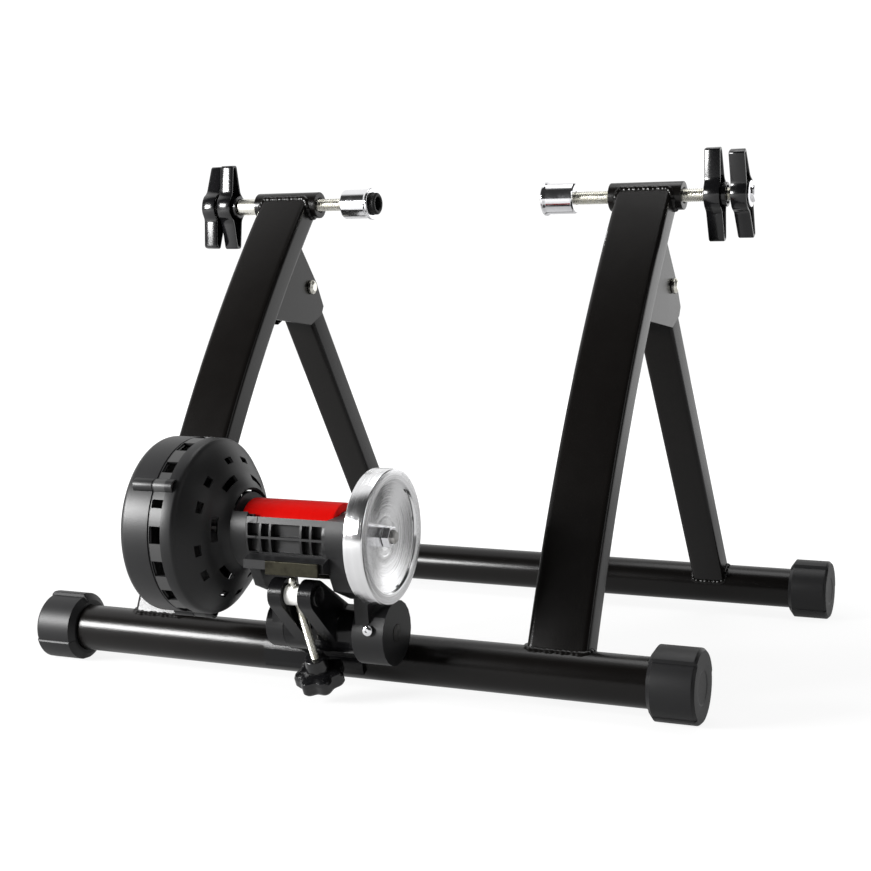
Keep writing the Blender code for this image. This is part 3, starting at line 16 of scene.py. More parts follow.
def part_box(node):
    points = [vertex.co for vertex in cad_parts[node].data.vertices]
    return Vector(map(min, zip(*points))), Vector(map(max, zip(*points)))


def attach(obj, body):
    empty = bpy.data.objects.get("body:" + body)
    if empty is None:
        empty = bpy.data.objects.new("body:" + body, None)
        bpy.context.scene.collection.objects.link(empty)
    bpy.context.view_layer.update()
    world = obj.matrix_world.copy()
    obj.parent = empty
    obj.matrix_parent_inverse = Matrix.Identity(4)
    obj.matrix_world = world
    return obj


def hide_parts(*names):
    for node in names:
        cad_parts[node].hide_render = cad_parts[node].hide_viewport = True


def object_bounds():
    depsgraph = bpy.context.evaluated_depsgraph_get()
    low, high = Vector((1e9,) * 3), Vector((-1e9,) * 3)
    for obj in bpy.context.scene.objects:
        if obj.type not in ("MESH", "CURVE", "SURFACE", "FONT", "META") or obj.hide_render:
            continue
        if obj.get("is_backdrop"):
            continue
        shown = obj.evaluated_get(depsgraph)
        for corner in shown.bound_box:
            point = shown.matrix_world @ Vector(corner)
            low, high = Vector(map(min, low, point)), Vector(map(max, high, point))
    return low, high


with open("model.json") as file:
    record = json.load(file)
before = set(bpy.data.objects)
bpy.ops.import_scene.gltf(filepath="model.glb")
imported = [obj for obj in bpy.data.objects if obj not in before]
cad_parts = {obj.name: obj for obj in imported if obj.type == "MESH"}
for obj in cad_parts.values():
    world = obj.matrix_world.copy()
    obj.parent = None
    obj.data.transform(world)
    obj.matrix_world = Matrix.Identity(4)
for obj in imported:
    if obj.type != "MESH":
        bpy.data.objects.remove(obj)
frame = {"nodes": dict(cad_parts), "record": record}

LOG = logging.getLogger("trainer")
FULL_TURN = 2 * math.pi
SIDES = {"left": -1, "right": 1}
Triple = tuple[float, float, float]
Array = np.ndarray
Piece = bpy.types.Object


def centre_of(node: str) -> Vector:
    """Return the middle of a node's box."""
    low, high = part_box(node)
    return (low + high) / 2


def radius_of(node: str) -> float:
    """Return half the height of a node's box."""
    low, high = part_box(node)
    return (high.z - low.z) / 2


def span_of(node: str) -> tuple[float, float]:
    """Return a node's two ends along X."""
    low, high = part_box(node)
    return low.x, high.x


class Wire:
    """A node's output whose arithmetic adds Math nodes."""

    def __init__(self, graph: Graph, socket: bpy.types.NodeSocket) -> None:
        """Keep the socket and the graph that it belongs to."""
        self.graph = graph
        self.socket = socket

    def math(self, operation: str, *values: Wire | float) -> Wire:
        """Add a Math node on the values in their order, or on this wire alone."""
        return self.graph.add("ShaderNodeMath", {"operation": operation}, dict(enumerate(values or (self,))))

    def __add__(self, other: Wire | float) -> Wire:
        """Add."""
        return self.math("ADD", self, other)

    def __mul__(self, other: Wire | float) -> Wire:
        """Multiply."""
        return self.math("MULTIPLY", self, other)

    def __sub__(self, other: Wire | float) -> Wire:
        """Subtract the other."""
        return self.math("SUBTRACT", self, other)

    def __rsub__(self, other: float) -> Wire:
        """Subtract this from the other."""
        return self.math("SUBTRACT", other, self)

    __radd__ = __add__
    __rmul__ = __mul__

    def hypotenuse(self, other: Wire) -> Wire:
        """Return the square root of the sum of both squares."""
        return (self * self + other * other).math("SQRT")

    def between(self, low: float, high: float) -> Wire:
        """Rise smoothly from 0 at low to 1 at high."""
        settings = {"interpolation_type": "SMOOTHSTEP"}
        return self.graph.add("ShaderNodeMapRange", settings, {0: self, 1: low, 2: high, 3: 0.0, 4: 1.0})

    def past(self, place: float, blur: float = 0.0002) -> Wire:
        """Rise from 0 to 1 over a narrow step at a place."""
        return self.between(place - blur, place + blur)


class Graph:
    """A node tree that is written as expressions."""

    def __init__(self, tree: bpy.types.NodeTree) -> None:
        """Start on an existing node tree."""
        self.tree = tree

    def add(self, kind: str, settings: dict | None = None, sockets: dict | None = None,
            output: int | str = 0) -> Wire:
        """Add a node.

        Args:
            kind: The node's type.
            settings: Its properties, which are set first.
            sockets: Values or wires for its inputs, by name or number.
            output: The output to return, by name or number.

        Returns:
            The wire from that output.
        """
        node = self.tree.nodes.new(kind)
        for key, value in (settings or {}).items():
            setattr(node, key, value)
        for key, value in (sockets or {}).items():
            self.feed(node.inputs[key], value)
        return Wire(self, node.outputs[output])

    def feed(self, socket: bpy.types.NodeSocket, value: object) -> None:
        """Link a wire to a socket, or set the socket's own value.

        Args:
            socket: The input.
            value: A wire, a number, a colour or a vector.
        """
        if isinstance(value, Wire):
            self.tree.links.new(value.socket, socket)
        elif isinstance(value, tuple) and len(value) == 3 and socket.type == "RGBA":
            socket.default_value = (*value, 1.0)
        else:
            socket.default_value = value

    def place(self, centre: Triple = (0, 0, 0)) -> Wire:
        """Return Object coordinates, counted from a centre."""
        where = self.add("ShaderNodeTexCoord", output="Object")
        return self.add("ShaderNodeMapping", None, {"Vector": where, "Location": tuple(-v for v in centre)})

    def noise(self, where: Wire, size: float, detail: float = 2.0) -> Wire:
        """Return a noise from 0 to 1 whose lumps have a size in metres."""
        return self.add("ShaderNodeTexNoise", None, {"Vector": where, "Scale": 1 / size, "Detail": detail})

    def rings(self, distance: Wire, pitch: float) -> Wire:
        """Return a noise along one distance, for marks left by turning."""
        return self.add("ShaderNodeTexNoise", {"noise_dimensions": "1D"},
                        {"W": distance * (1 / pitch), "Scale": 1.0, "Detail": 3.0})

    def blend(self, factor: Wire, first: object, second: object) -> Wire:
        """Mix two colours."""
        return self.add("ShaderNodeMix", {"data_type": "RGBA"}, {0: factor, 6: first, 7: second}, 2)

    def bump(self, height: Wire, depth: float, strength: float = 1.0) -> Wire:
        """Return a normal bent by a height from 0 to 1, with its depth in metres."""
        return self.add("ShaderNodeBump", None, {"Height": height, "Distance": depth, "Strength": strength})

    def vector(self, operation: str, first: Wire, **others: Wire) -> Wire:
        """Add a Vector Math node on a vector: by is the second one, and times is what scales it."""
        named = {"by": 1, "times": "Scale"}
        return self.add("ShaderNodeVectorMath", {"operation": operation},
                        {0: first, **{named[key]: value for key, value in others.items()}})

    def rays(self, kind: str) -> Wire:
        """Return 1 for the rays of a kind, the camera's or the glossy ones, and 0 for the others."""
        return self.add("ShaderNodeLightPath", output=f"Is {kind} Ray")

    def parts(self, vector: Wire) -> tuple[Wire, Wire, Wire]:
        """Split a vector in its three values."""
        node = self.add("ShaderNodeSeparateXYZ", None, {0: vector}).socket.node
        return tuple(Wire(self, node.outputs[i]) for i in range(3))


def shade(colour: Triple, factor: float) -> Triple:
    """Return a colour that many times as bright."""
    return tuple(min(value * factor, 1.0) for value in colour)


@dataclass(frozen=True)
class Finish:
    """A surface's colour, gloss and texture."""

    name: str
    colour: Triple
    roughness: float
    metallic: float = 0.0
    specular: float = 0.5
    coat: float = 0.0
    coat_roughness: float = 0.08

    def material(self) -> bpy.types.Material:
        """Build the finish's material, or find it where it is already built.

        Returns:
            The material.
        """
        if self.name in bpy.data.materials:
            return bpy.data.materials[self.name]
        material = bpy.data.materials.new(self.name)
        material.use_nodes = True
        graph = Graph(material.node_tree)
        shader = material.node_tree.nodes["Principled BSDF"]
        plain = {"Metallic": self.metallic, "Specular IOR Level": self.specular, "Coat Weight": self.coat,
                 "Coat Roughness": self.coat_roughness}
        for socket, value in {**plain, **self.texture(graph)}.items():
            graph.feed(shader.inputs[socket], value)
        return material

    def texture(self, graph: Graph) -> dict[str, object]:
        """Return what varies over the surface: a faint mottle of colour and gloss.

        Args:
            graph: The material's graph.

        Returns:
            Values and wires by socket name.
        """
        mottle = graph.noise(graph.place(), 0.02, 3.0)
        return {"Base Color": graph.blend(mottle, shade(self.colour, 0.86), shade(self.colour, 1.12)),
                "Roughness": mottle * (0.2 * self.roughness) + self.roughness * 0.9}


@dataclass(frozen=True)
class PowderCoat(Finish):
    """Baked powder: a soft orange-peel skin with fine specks."""

    peel: float = 0.0016

    def texture(self, graph: Graph) -> dict[str, object]:
        """Return the mottle with the orange peel's bump."""
        peel = graph.noise(graph.place(), self.peel, 2.0)
        return {**super().texture(graph), "Normal": graph.bump(peel, 0.00009, 0.7)}


@dataclass(frozen=True)
class Moulding(Finish):
    """A moulded surface with the tool's fine grain."""

    grain: float = 0.0007
    depth: float = 0.00004

    def texture(self, graph: Graph) -> dict[str, object]:
        """Return the mottle with the grain's bump and its matt specks.

        Args:
            graph: The material's graph.

        Returns:
            Values and wires by socket name.
        """
        where = graph.place()
        grain = graph.noise(where, self.grain, 2.0)
        spread = graph.noise(where, 0.03, 3.0) * 0.7 + grain * 0.3
        return {"Base Color": graph.blend(spread, shade(self.colour, 0.8), shade(self.colour, 1.2)),
                "Roughness": grain * 0.12 + (self.roughness - 0.06),
                "Normal": graph.bump(grain, self.depth, 0.7)}


@dataclass(frozen=True)
class BandedMoulding(Moulding):
    """A moulding about an axis along X with a paler band between its windows."""

    centre: Triple = (0.0, 0.0, 0.0)
    start: float = 0.0
    end: float = 0.0
    radius: float = 0.0
    band: Triple = (0.042, 0.042, 0.042)

    def texture(self, graph: Graph) -> dict[str, object]:
        """Return the moulding's texture, paler between two stations outside a radius.

        Args:
            graph: The material's graph.

        Returns:
            Values and wires by socket name.
        """
        found = super().texture(graph)
        along, across, up = graph.parts(graph.place(self.centre))
        mask = along.past(self.start) * (1 - along.past(self.end)) * across.hypotenuse(up).past(self.radius)
        return {**found, "Base Color": graph.blend(mask, found["Base Color"], self.band)}


@dataclass(frozen=True)
class Plating(Finish):
    """Bright plated steel with a faint stain and fine drawing marks."""

    stain: Triple = (0.6, 0.55, 0.42)

    def texture(self, graph: Graph) -> dict[str, object]:
        """Return a stain of colour and roughness that varies in patches.

        Args:
            graph: The material's graph.

        Returns:
            Values and wires by socket name.
        """
        where = graph.place()
        fine = graph.noise(where, 0.0006, 2.0)
        mask = graph.noise(where, 0.006, 4.0).between(0.35, 0.75)
        return {"Base Color": graph.blend(mask, self.colour, self.stain),
                "Roughness": mask * (0.5 * self.roughness) + fine * 0.06 + self.roughness * 0.8,
                "Normal": graph.bump(fine, 0.00001, 0.4)}


@dataclass(frozen=True)
class Turning(Finish):
    """Metal or hard rubber turned about an axis along X: fine rings that spread the light."""

    centre: Triple = (0.0, 0.0, 0.0)
    spread: float = 0.3
    pitch: float = 0.0004
    band: float = 0.004

    def texture(self, graph: Graph) -> dict[str, object]:
        """Return rings of slope: the normal leans along the radius, or along X on the rim.

        The lean is a noise of the distance from the axis, and of the distance along it.

        Args:
            graph: The material's graph.

        Returns:
            Values and wires by socket name.
        """
        along, across, up = graph.parts(graph.place(self.centre))
        radius = across.hypotenuse(up)
        outward = graph.vector("NORMALIZE", graph.add("ShaderNodeCombineXYZ", None, {1: across, 2: up}))
        turn = {"vector_type": "VECTOR", "convert_from": "OBJECT", "convert_to": "WORLD"}
        normal = graph.add("ShaderNodeNewGeometry", output="Normal")
        for direction, distance in ((outward, radius), ((1.0, 0.0, 0.0), along)):
            lean = (graph.rings(distance, self.pitch) - 0.5) * self.spread
            world = graph.add("ShaderNodeVectorTransform", turn, {0: direction})
            normal = graph.vector("ADD", normal, by=graph.vector("SCALE", world, times=lean))
        bands = graph.rings(radius + along, self.band)
        return {"Base Color": graph.blend(bands, shade(self.colour, 0.9), self.colour),
                "Roughness": bands * (0.4 * self.roughness) + self.roughness * 0.8,
                "Normal": graph.vector("NORMALIZE", normal)}


class Finishes(Enum):
    """The finishes of the trainer's pieces."""

    POWDER = PowderCoat("powder_black_coat", (0.0034, 0.0029, 0.0026), 0.24, specular=0.26, peel=0.0013)
    CASTING = PowderCoat("cast_black_coat", (0.0035, 0.0035, 0.004), 0.2, specular=0.3, peel=0.0011)
    FOOT = Moulding("foot_rubber_skin", (0.008, 0.008, 0.0085), 0.45, specular=0.3, grain=0.0009)
    LINER = Moulding("liner_rubber_skin", (0.006, 0.006, 0.006), 0.5, specular=0.3)
    KNOB = Moulding("knob_gloss_skin", (0.004, 0.004, 0.0045), 0.18, coat=0.2, grain=0.002, depth=0.00001)
    HOUSING = Moulding("housing_grain_skin", (0.0075, 0.0075, 0.008), 0.4, specular=0.34, grain=0.0008,
                       depth=0.00006)
    SPACER = Moulding("spacer_satin_skin", (0.80, 0.80, 0.77), 0.4)
    ZINC = Plating("zinc_plate_skin", (0.86, 0.85, 0.79), 0.27, metallic=1.0, stain=(0.76, 0.74, 0.64))
    OLIVE_ZINC = Plating("olive_zinc_skin", (0.034, 0.032, 0.022), 0.34, metallic=0.9,
                         stain=(0.009, 0.008, 0.005))
    BARE = Plating("bare_steel_skin", (0.62, 0.61, 0.60), 0.32, metallic=1.0, stain=(0.45, 0.44, 0.42))
    OXIDE = Plating("black_oxide_skin", (0.035, 0.034, 0.033), 0.38, metallic=0.8, stain=(0.022, 0.021, 0.02))
    CHROME = Plating("chrome_skin", (0.92, 0.92, 0.94), 0.1, metallic=1.0, stain=(0.88, 0.88, 0.90))

    def material(self) -> bpy.types.Material:
        """Build the finish's material, or find it where it is already built."""
        return self.value.material()


@dataclass(frozen=True)
class Line:
    """A straight axis with two directions across it."""

    origin: Triple
    along: Triple = (1.0, 0.0, 0.0)
    across: Triple = (0.0, 1.0, 0.0)

    def place(self, step: Array | float, first: Array, second: Array) -> Array:
        """Turn distances along and across the line into points.

        Args:
            step: Distances along the line.
            first: Distances in its first direction across.
            second: Distances in its second direction across.

        Returns:
            An array of points whose last side is x, y and z.
        """
        along, across = np.array(self.along), np.array(self.across)
        third = np.cross(along, across)
        step, first, second = np.broadcast_arrays(step, first, second)
        return (np.array(self.origin) + step[..., None] * along + first[..., None] * across
                + second[..., None] * third)

    def wind(self, step: Array, radius: Array, turn: Array) -> Array:
        """Turn distances along the line, radii and angles about it into points."""
        return self.place(step, radius * np.cos(turn), radius * np.sin(turn))


def line_through(node: str) -> Line:
    """Return the axis along X through the middle of a node's box, counted from X = 0."""
    middle = centre_of(node)
    return Line((0.0, middle.y, middle.z))


def full_circle(count: int) -> Array:
    """Return a row of angles, in even steps round a circle."""
    return np.linspace(0, FULL_TURN, count, endpoint=False)[None, :]


def unit(vectors: Array) -> Array:
    """Return vectors of length 1 with the same headings."""
    return vectors / np.linalg.norm(vectors, axis=-1, keepdims=True)


def rounded(corners: list | Array, radius: float | Array, closed: bool, steps: int = 5) -> Array:
    """Round the corners of an outline.

    Each corner becomes a short parabola from a point before it to a point after it: the weights of the
    point before, the corner and the point after are (1 - t) squared, 2 t (1 - t) and t squared.

    Args:
        corners: The outline's corners.
        radius: How far before and after each corner the curve starts and ends.
        closed: Whether the last corner joins the first.
        steps: How many points each curve has.

    Returns:
        The rounded outline's points.
    """
    corners = np.asarray(corners, float)
    reach = np.broadcast_to(np.asarray(radius, float).reshape(-1, 1), (len(corners), 1))
    ends = []
    for way in (1, -1):
        side = np.roll(corners, way, 0) - corners
        size = np.linalg.norm(side, axis=1)[:, None]
        ends.append((corners + side / np.maximum(size, 1e-9) * np.minimum(reach, size * 0.48))[:, None])
    t = np.linspace(0, 1, steps)[None, :, None]
    curve = (1 - t) ** 2 * ends[0] + 2 * t * (1 - t) * corners[:, None] + t ** 2 * ends[1]
    if closed:
        return curve.reshape(-1, corners.shape[1])
    return np.vstack([corners[:1], curve[1:-1].reshape(-1, corners.shape[1]), corners[-1:]])


def rounded_box(width: float, depth: float, corner: float) -> Array:
    """Return a rectangle's outline about its middle, with round corners."""
    w, d = width / 2, depth / 2
    return rounded([(w, -d), (w, d), (-w, d), (-w, -d)], corner * 1.3, True, 8)


class Surface:
    """Grids of points that become one mesh."""

    def __init__(self) -> None:
        """Start with no points."""
        self.points: list[Array] = []
        self.faces: list[Array] = []
        self.count = 0

    def sheet(self, grid: Array, wrap_rows: bool = False, wrap_columns: bool = True,
              keep: Array | None = None) -> Surface:
        """Join a grid of points with four-sided faces.

        Args:
            grid: Points by row and column.
            wrap_rows: Whether the last row joins the first.
            wrap_columns: Whether the last column joins the first.
            keep: Which faces are kept, by row and column.

        Returns:
            This surface.
        """
        rows, columns = grid.shape[:2]
        index = np.arange(rows * columns).reshape(rows, columns) + self.count
        ahead, beside = np.roll(index, -1, 0), np.roll(index, -1, 1)
        quads = np.stack([index, beside, np.roll(beside, -1, 0), ahead], -1)
        quads = quads if wrap_rows else quads[:-1]
        quads = quads if wrap_columns else quads[:, :-1]
        self.faces.append(quads[keep] if keep is not None else quads.reshape(-1, 4))
        self.points.append(grid.reshape(-1, 3))
        self.count += rows * columns
        return self

    def turned(self, line: Line, profile: list | Array, segments: int = 96, ring: bool = False,
               soft: float = 0.0) -> Surface:
        """Carry a profile round a line: its step stays, and its radius turns through the full circle.

        Args:
            line: The axis.
            profile: Distances along the axis and radii.
            segments: How many steps the full turn has.
            ring: Whether the profile is a closed loop round a bore.
            soft: How far the profile's corners are rounded.

        Returns:
            This surface.
        """
        profile = rounded(profile, soft, ring) if soft else np.asarray(profile, float)
        return self.sheet(line.wind(profile[:, :1], profile[:, 1:], full_circle(segments)), wrap_rows=ring)

    def capped(self, rings: Array) -> Surface:
        """Join rings of points into a closed body, each end drawn in to its middle."""
        ends = rings[[0, -1]].mean(1, keepdims=True) + np.zeros_like(rings[[0, -1]])
        return self.sheet(np.concatenate([ends[:1], rings, ends[1:]]))

    def built(self, name: str, sharp: float = 32.0) -> Piece:
        """Make the mesh object, with its seams and poles closed and its faces outwards.

        Args:
            name: The object's name.
            sharp: The angle in degrees past which an edge stays sharp.

        Returns:
            The object, linked to the scene.
        """
        mesh = bpy.data.meshes.new(name)
        mesh.from_pydata(np.vstack(self.points), [], np.vstack(self.faces))
        shape = bmesh.new()
        shape.from_mesh(mesh)
        bmesh.ops.remove_doubles(shape, verts=shape.verts, dist=0.000003)
        bmesh.ops.dissolve_degenerate(shape, edges=shape.edges, dist=0.000001)
        bmesh.ops.recalc_face_normals(shape, faces=shape.faces)
        shape.to_mesh(mesh)
        shape.free()
        return linked(name, mesh, sharp)


def linked(name: str, mesh: bpy.types.Mesh, sharp: float) -> Piece:
    """Link a smooth-shaded mesh to the scene as an object at the origin.

    Args:
        name: The object's name.
        mesh: Its mesh.
        sharp: The angle in degrees past which an edge stays sharp.

    Returns:
        The object.
    """
    mesh.shade_smooth()
    mesh.set_sharp_from_angle(angle=math.radians(sharp))
    piece = bpy.data.objects.new(name, mesh)
    bpy.context.scene.collection.objects.link(piece)
    return piece


def eased(node: str, width: float, steps: int) -> Piece:
    """Copy a node's solid with its edges rounded.

    Args:
        node: The node.
        width: The rounding's width.
        steps: How many faces the rounding has.

    Returns:
        The new object.
    """
    mesh = frame["nodes"][node].data.copy()
    shape = bmesh.new()
    shape.from_mesh(mesh)
    bmesh.ops.remove_doubles(shape, verts=shape.verts, dist=0.000004)
    bmesh.ops.dissolve_limit(shape, angle_limit=math.radians(1.0), verts=shape.verts, edges=shape.edges)
    shape.to_mesh(mesh)
    shape.free()
    piece = linked(f"{node}_eased", mesh, 30.0)
    bevel = piece.modifiers.new("edges", "BEVEL")
    bevel.width = width
    bevel.segments = steps
    bevel.limit_method = "ANGLE"
    bevel.angle_limit = math.radians(30.0)
    bevel.harden_normals = True
    return piece


def pipe(node: str, kind: str, radii: tuple[float, float], soft: float, segments: int = 128,
         sink: float = 0.0) -> Piece:
    """Carry a tube's wall, a rectangle with soft corners, round the axis of its node.

    Args:
        node: The node that it stands for, which gives its ends.
        kind: The last word of its name.
        radii: Its inner and outer radius.
        soft: How far the wall's corners are rounded.
        segments: How many steps the full turn has.
        sink: How far both mouths are countersunk.

    Returns:
        The tube.
    """
    (start, end), (inner, outer) = span_of(node), radii
    wall = [(start, inner + sink), (start, outer), (end, outer), (end, inner + sink)]
    if sink:
        wall += [(end - sink, inner), (start + sink, inner)]
    return Surface().turned(line_through(node), wall, segments, True, soft).built(f"{node}_{kind}")


def thread(step: Array, turn: Array, pitch: float, fullness: float) -> Array:
    """Return a thread's depth from 0 to 1: a rounded saw of the pitches along less the turns round."""
    phase = (step / pitch - turn / FULL_TURN) % 1.0
    return np.clip(fullness - np.abs(phase * 2 - 1) * 1.9, 0, 1)


def plug(start: float, end: float, root: float, top: float | None = None) -> list[tuple[float, float]]:
    """Return a round plug's profile, with its radius at the start and, where it tapers, at the end."""
    return [(start, 0.0), (start, root), (end, root if top is None else top), (end, 0.0)]


class Bench:
    """Dresses pieces and hands them to the frame."""

    def __init__(self, record: dict) -> None:
        """Read from the record which body and slot each node has.

        Args:
            record: The packed part's record.
        """
        bodies = record["behaviour"]["bodies"]
        self.body = {node: body for body, nodes in bodies.items() for node in nodes}
        self.slots = {part["node"]: part["material_slot"] for part in record["subparts"]}
        self.done: set[str] = set()

    def attach(self, piece: Piece, body: str, slot: str, finish: Finish | Finishes) -> None:
        """Give a new piece one finish all over, and let it ride on a body.

        Args:
            piece: The piece.
            body: The body that carries it.
            slot: The material slot that it belongs to; not used.
            finish: The piece's finish.
        """
        piece.data.materials.clear()
        piece.data.materials.append(finish.material())
        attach(piece, body)
        LOG.info("%s rides on %s", piece.name, body)

    def replace(self, piece: Piece, node: str, finish: Finish | Finishes) -> None:
        """Let a piece stand for a node.

        Args:
            piece: The piece.
            node: The node that it stands for.
            finish: The piece's finish.
        """
        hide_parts(node)
        self.attach(piece, self.body[node], self.slots[node], finish)
        self.done.add(node)

    def ease(self, node: str, width: float, finish: Finishes, steps: int = 2) -> None:
        """Let a node's own solid with rounded edges stand for it."""
        self.replace(eased(node, width, steps), node, finish)

    def dress(self, finish: Finishes, *nodes: str) -> None:
        """Give nodes that keep their solids a finish.

        Args:
            finish: The finish.
            nodes: The nodes.
        """
        for node in nodes:
            for slot in frame["nodes"][node].material_slots:
                slot.material = finish.material()
            self.done.add(node)


@dataclass
class StandFrame:
    """The welded floor frame: rails, bowed uprights, sleeves, rear legs and their welds."""

    rail_wall: float = 0.0016
    upright_width: float = 0.0495
    upright_depth: float = 0.0246
    upright_bow: float = 0.0177
    upright_reach: float = 0.995
    leg_width: float = 0.0312
    leg_depth: float = 0.0248
    leg_overhang: float = 0.018
    leg_top: tuple[float, float] = (0.0015, 0.0004)
    tube_corner: float = 0.004
    sleeve_bore: float = 0.0061
    countersink: float = 0.0012
    weld_radius: float = 0.0026
    weld_pitch: float = 0.0043

    def build(self, bench: Bench) -> None:
        """Build and dress the frame.

        Args:
            bench: Where its pieces go.
        """
        for node in ("front_rail", "rear_rail"):
            bench.replace(self.rail(node), node, Finishes.POWDER)
        makers = (("axle_sleeve", self.sleeve), ("upright", self.upright), ("rear_leg", self.leg))
        for side in SIDES:
            for kind, make in makers:
                bench.replace(make(f"{kind}_{side}"), f"{kind}_{side}", Finishes.POWDER)
            for weld in self.welds(side):
                body = "rear_frame" if "leg" in weld.name else "base"
                bench.attach(weld, body, "powder_black", Finishes.POWDER)
            bench.ease(f"fold_bracket_{side}", 0.0007, Finishes.POWDER)
            bench.ease(f"fold_bolt_{side}", 0.0005, Finishes.ZINC)
            bench.ease(f"fold_nut_{side}", 0.0004, Finishes.ZINC)

    def rail(self, node: str) -> Piece:
        """Return a round tube with eased ends."""
        return pipe(node, "tube", (radius_of(node) - self.rail_wall, radius_of(node)), 0.0004)

    def sleeve(self, node: str) -> Piece:
        """Return a threaded sleeve, its mouths countersunk."""
        return pipe(node, "tube", (self.sleeve_bore, radius_of(node)), 0.0005, 96, self.countersink)

    def ends(self) -> tuple[Vector, Vector]:
        """Return the front rail's axis and the clamp line."""
        return centre_of("front_rail"), centre_of("axle_sleeve_left")

    def upright_line(self, t: Array) -> tuple[Array, Array]:
        """Return the bowed centre line: the chord plus 4 bow t (1 - t) square to it, and its heading.

        Args:
            t: Places along the chord, from 0 to 1.

        Returns:
            The line's points and its headings there, as y and z.
        """
        foot, head = self.ends()
        chord = np.array([head.y - foot.y, head.z - foot.z])
        normal = unit(np.array([-chord[1], chord[0]]))
        bow = (4 * self.upright_bow * t * (1 - t))[:, None] * normal
        slope = chord + (4 * self.upright_bow * (1 - 2 * t))[:, None] * normal
        return np.array([foot.y, foot.z]) + t[:, None] * chord + bow, unit(slope)

    def tube(self, node: str, points: Array, heading: Array, section: Array,
             scale: Array | float = 1.0) -> Piece:
        """Carry a section along a line in the plane of constant X through a node's middle.

        Args:
            node: The node that the tube stands for.
            points: The line's points, as y and z.
            heading: Its headings, as y and z.
            section: The section's outline.
            scale: The section's scale at each point.

        Returns:
            The tube.
        """
        across, through = np.moveaxis(section * np.reshape(scale, (-1, 1, 1)), -1, 0)
        y = points[:, :1] + heading[:, 1:] * through
        z = points[:, 1:] - heading[:, :1] * through
        x = np.broadcast_to(centre_of(node).x + across, y.shape)
        return Surface().capped(np.stack([x, y, z], -1)).built(f"{node}_tube")

    def sections(self) -> tuple[Array, Array]:
        """Return the outlines of the upright's and the leg's tube."""
        return (rounded_box(self.upright_width, self.upright_depth, self.tube_corner),
                rounded_box(self.leg_width, self.leg_depth, self.tube_corner))

    def upright(self, node: str) -> Piece:
        """Return a bowed rectangular tube from the rail to its sleeve."""
        line = self.upright_line(np.linspace(0.0, self.upright_reach, 61))
        return self.tube(node, *line, self.sections()[0])

    def leg_line(self) -> tuple[Array, Array]:
        """Return the rear rail's axis, and the run from it to the fold bolt."""
        rail, bolt = centre_of("rear_rail"), centre_of("fold_bolt_left")
        return np.array([rail.y, rail.z]), np.array([bolt.y - rail.y, bolt.z - rail.z])

    def leg(self, node: str) -> Piece:
        """Return a straight rear leg with its closed top, whose edge is drawn in.

        Args:
            node: The leg's node.

        Returns:
            The leg.
        """
        foot, run = self.leg_line()
        reach = np.linalg.norm(run) + self.leg_overhang
        far, near = self.leg_top
        stations = np.array([0.0, reach - far, reach - near, reach])
        scale = 1 - np.array([0.0, 0.0, near, far]) / (self.leg_depth / 2)
        heading = np.tile(unit(run), (len(stations), 1))
        section = rounded_box(self.leg_width, self.leg_depth, self.tube_corner * 0.8)
        return self.tube(node, foot + stations[:, None] * heading, heading, section, scale)

    def welds(self, side: str) -> list[Piece]:
        """Return the rippled beads where the tubes meet the rails and the sleeve.

        Args:
            side: Left or right.

        Returns:
            The three beads.
        """
        foot, head = self.ends()
        heading = self.upright_line(np.array([0.0, 1.0]))[1]
        upright, leg = (self.even(outline) for outline in self.sections())
        x, leg_x = centre_of(f"upright_{side}").x, centre_of(f"rear_leg_{side}").x
        rail, run = self.leg_line()
        rail_radius, sleeve_radius = radius_of("front_rail"), radius_of(f"axle_sleeve_{side}")
        beads = (("upright_foot", (x, foot.y, foot.z), heading[0], upright, rail_radius, 1),
                 ("upright_head", (x, head.y, head.z), heading[1], upright, sleeve_radius, -1),
                 ("leg_foot", (leg_x, *rail), unit(run), leg, rail_radius, 1))
        return [self.weld(f"weld_{place}_{side}", *shape) for place, *shape in beads]

    def even(self, outline: Array, step: float = 0.0007) -> Array:
        """Walk round a closed outline in even steps.

        Args:
            outline: The outline's points.
            step: The steps' length.

        Returns:
            Points at even distances along the outline.
        """
        closed = np.vstack([outline, outline[:1]])
        length = np.concatenate([[0.0], np.cumsum(np.linalg.norm(np.diff(closed, axis=0), axis=1))])
        places = np.linspace(0.0, length[-1], int(length[-1] / step), endpoint=False)
        return np.stack([np.interp(places, length, closed[:, i]) for i in range(2)], -1)

    def weld(self, name: str, centre: Triple, heading: Array, section: Array, radius: float,
             side: int) -> Piece:
        """Return one bead round the line where a section meets a round tube.

        A point that lies b off the section's middle meets a tube of radius R at a height of the square
        root of R squared less b squared. The bead's own radius ripples along that line.

        Args:
            name: The bead's name.
            centre: The round tube's axis, at the section's middle.
            heading: The section's direction, as y and z.
            section: The section's outline.
            radius: The round tube's radius.
            side: 1 where the section leaves the tube, -1 where it arrives.

        Returns:
            The bead.
        """
        through = np.clip(section[:, 1], -radius * 0.985, radius * 0.985)
        height = side * np.sqrt(radius ** 2 - through ** 2)
        outward = np.stack([np.zeros_like(through), heading[1] * through + heading[0] * height,
                            -heading[0] * through + heading[1] * height], -1)
        path = np.array(centre) + outward
        path[:, 0] += section[:, 0]
        outward = unit(outward)
        beside = np.cross(unit(np.roll(path, -1, 0) - np.roll(path, 1, 0)), outward)
        waves = np.cumsum(np.linalg.norm(path - np.roll(path, 1, 0), axis=1)) * FULL_TURN / self.weld_pitch
        ripple = self.weld_radius * (1 + 0.13 * (np.sin(waves) + np.sin(waves / 2.7)))
        turn = full_circle(10)[..., None]
        bead = np.cos(turn) * outward[:, None] * 0.7 + np.sin(turn) * beside[:, None]
        return Surface().sheet(path[:, None] + ripple[:, None, None] * bead, wrap_rows=True).built(name)


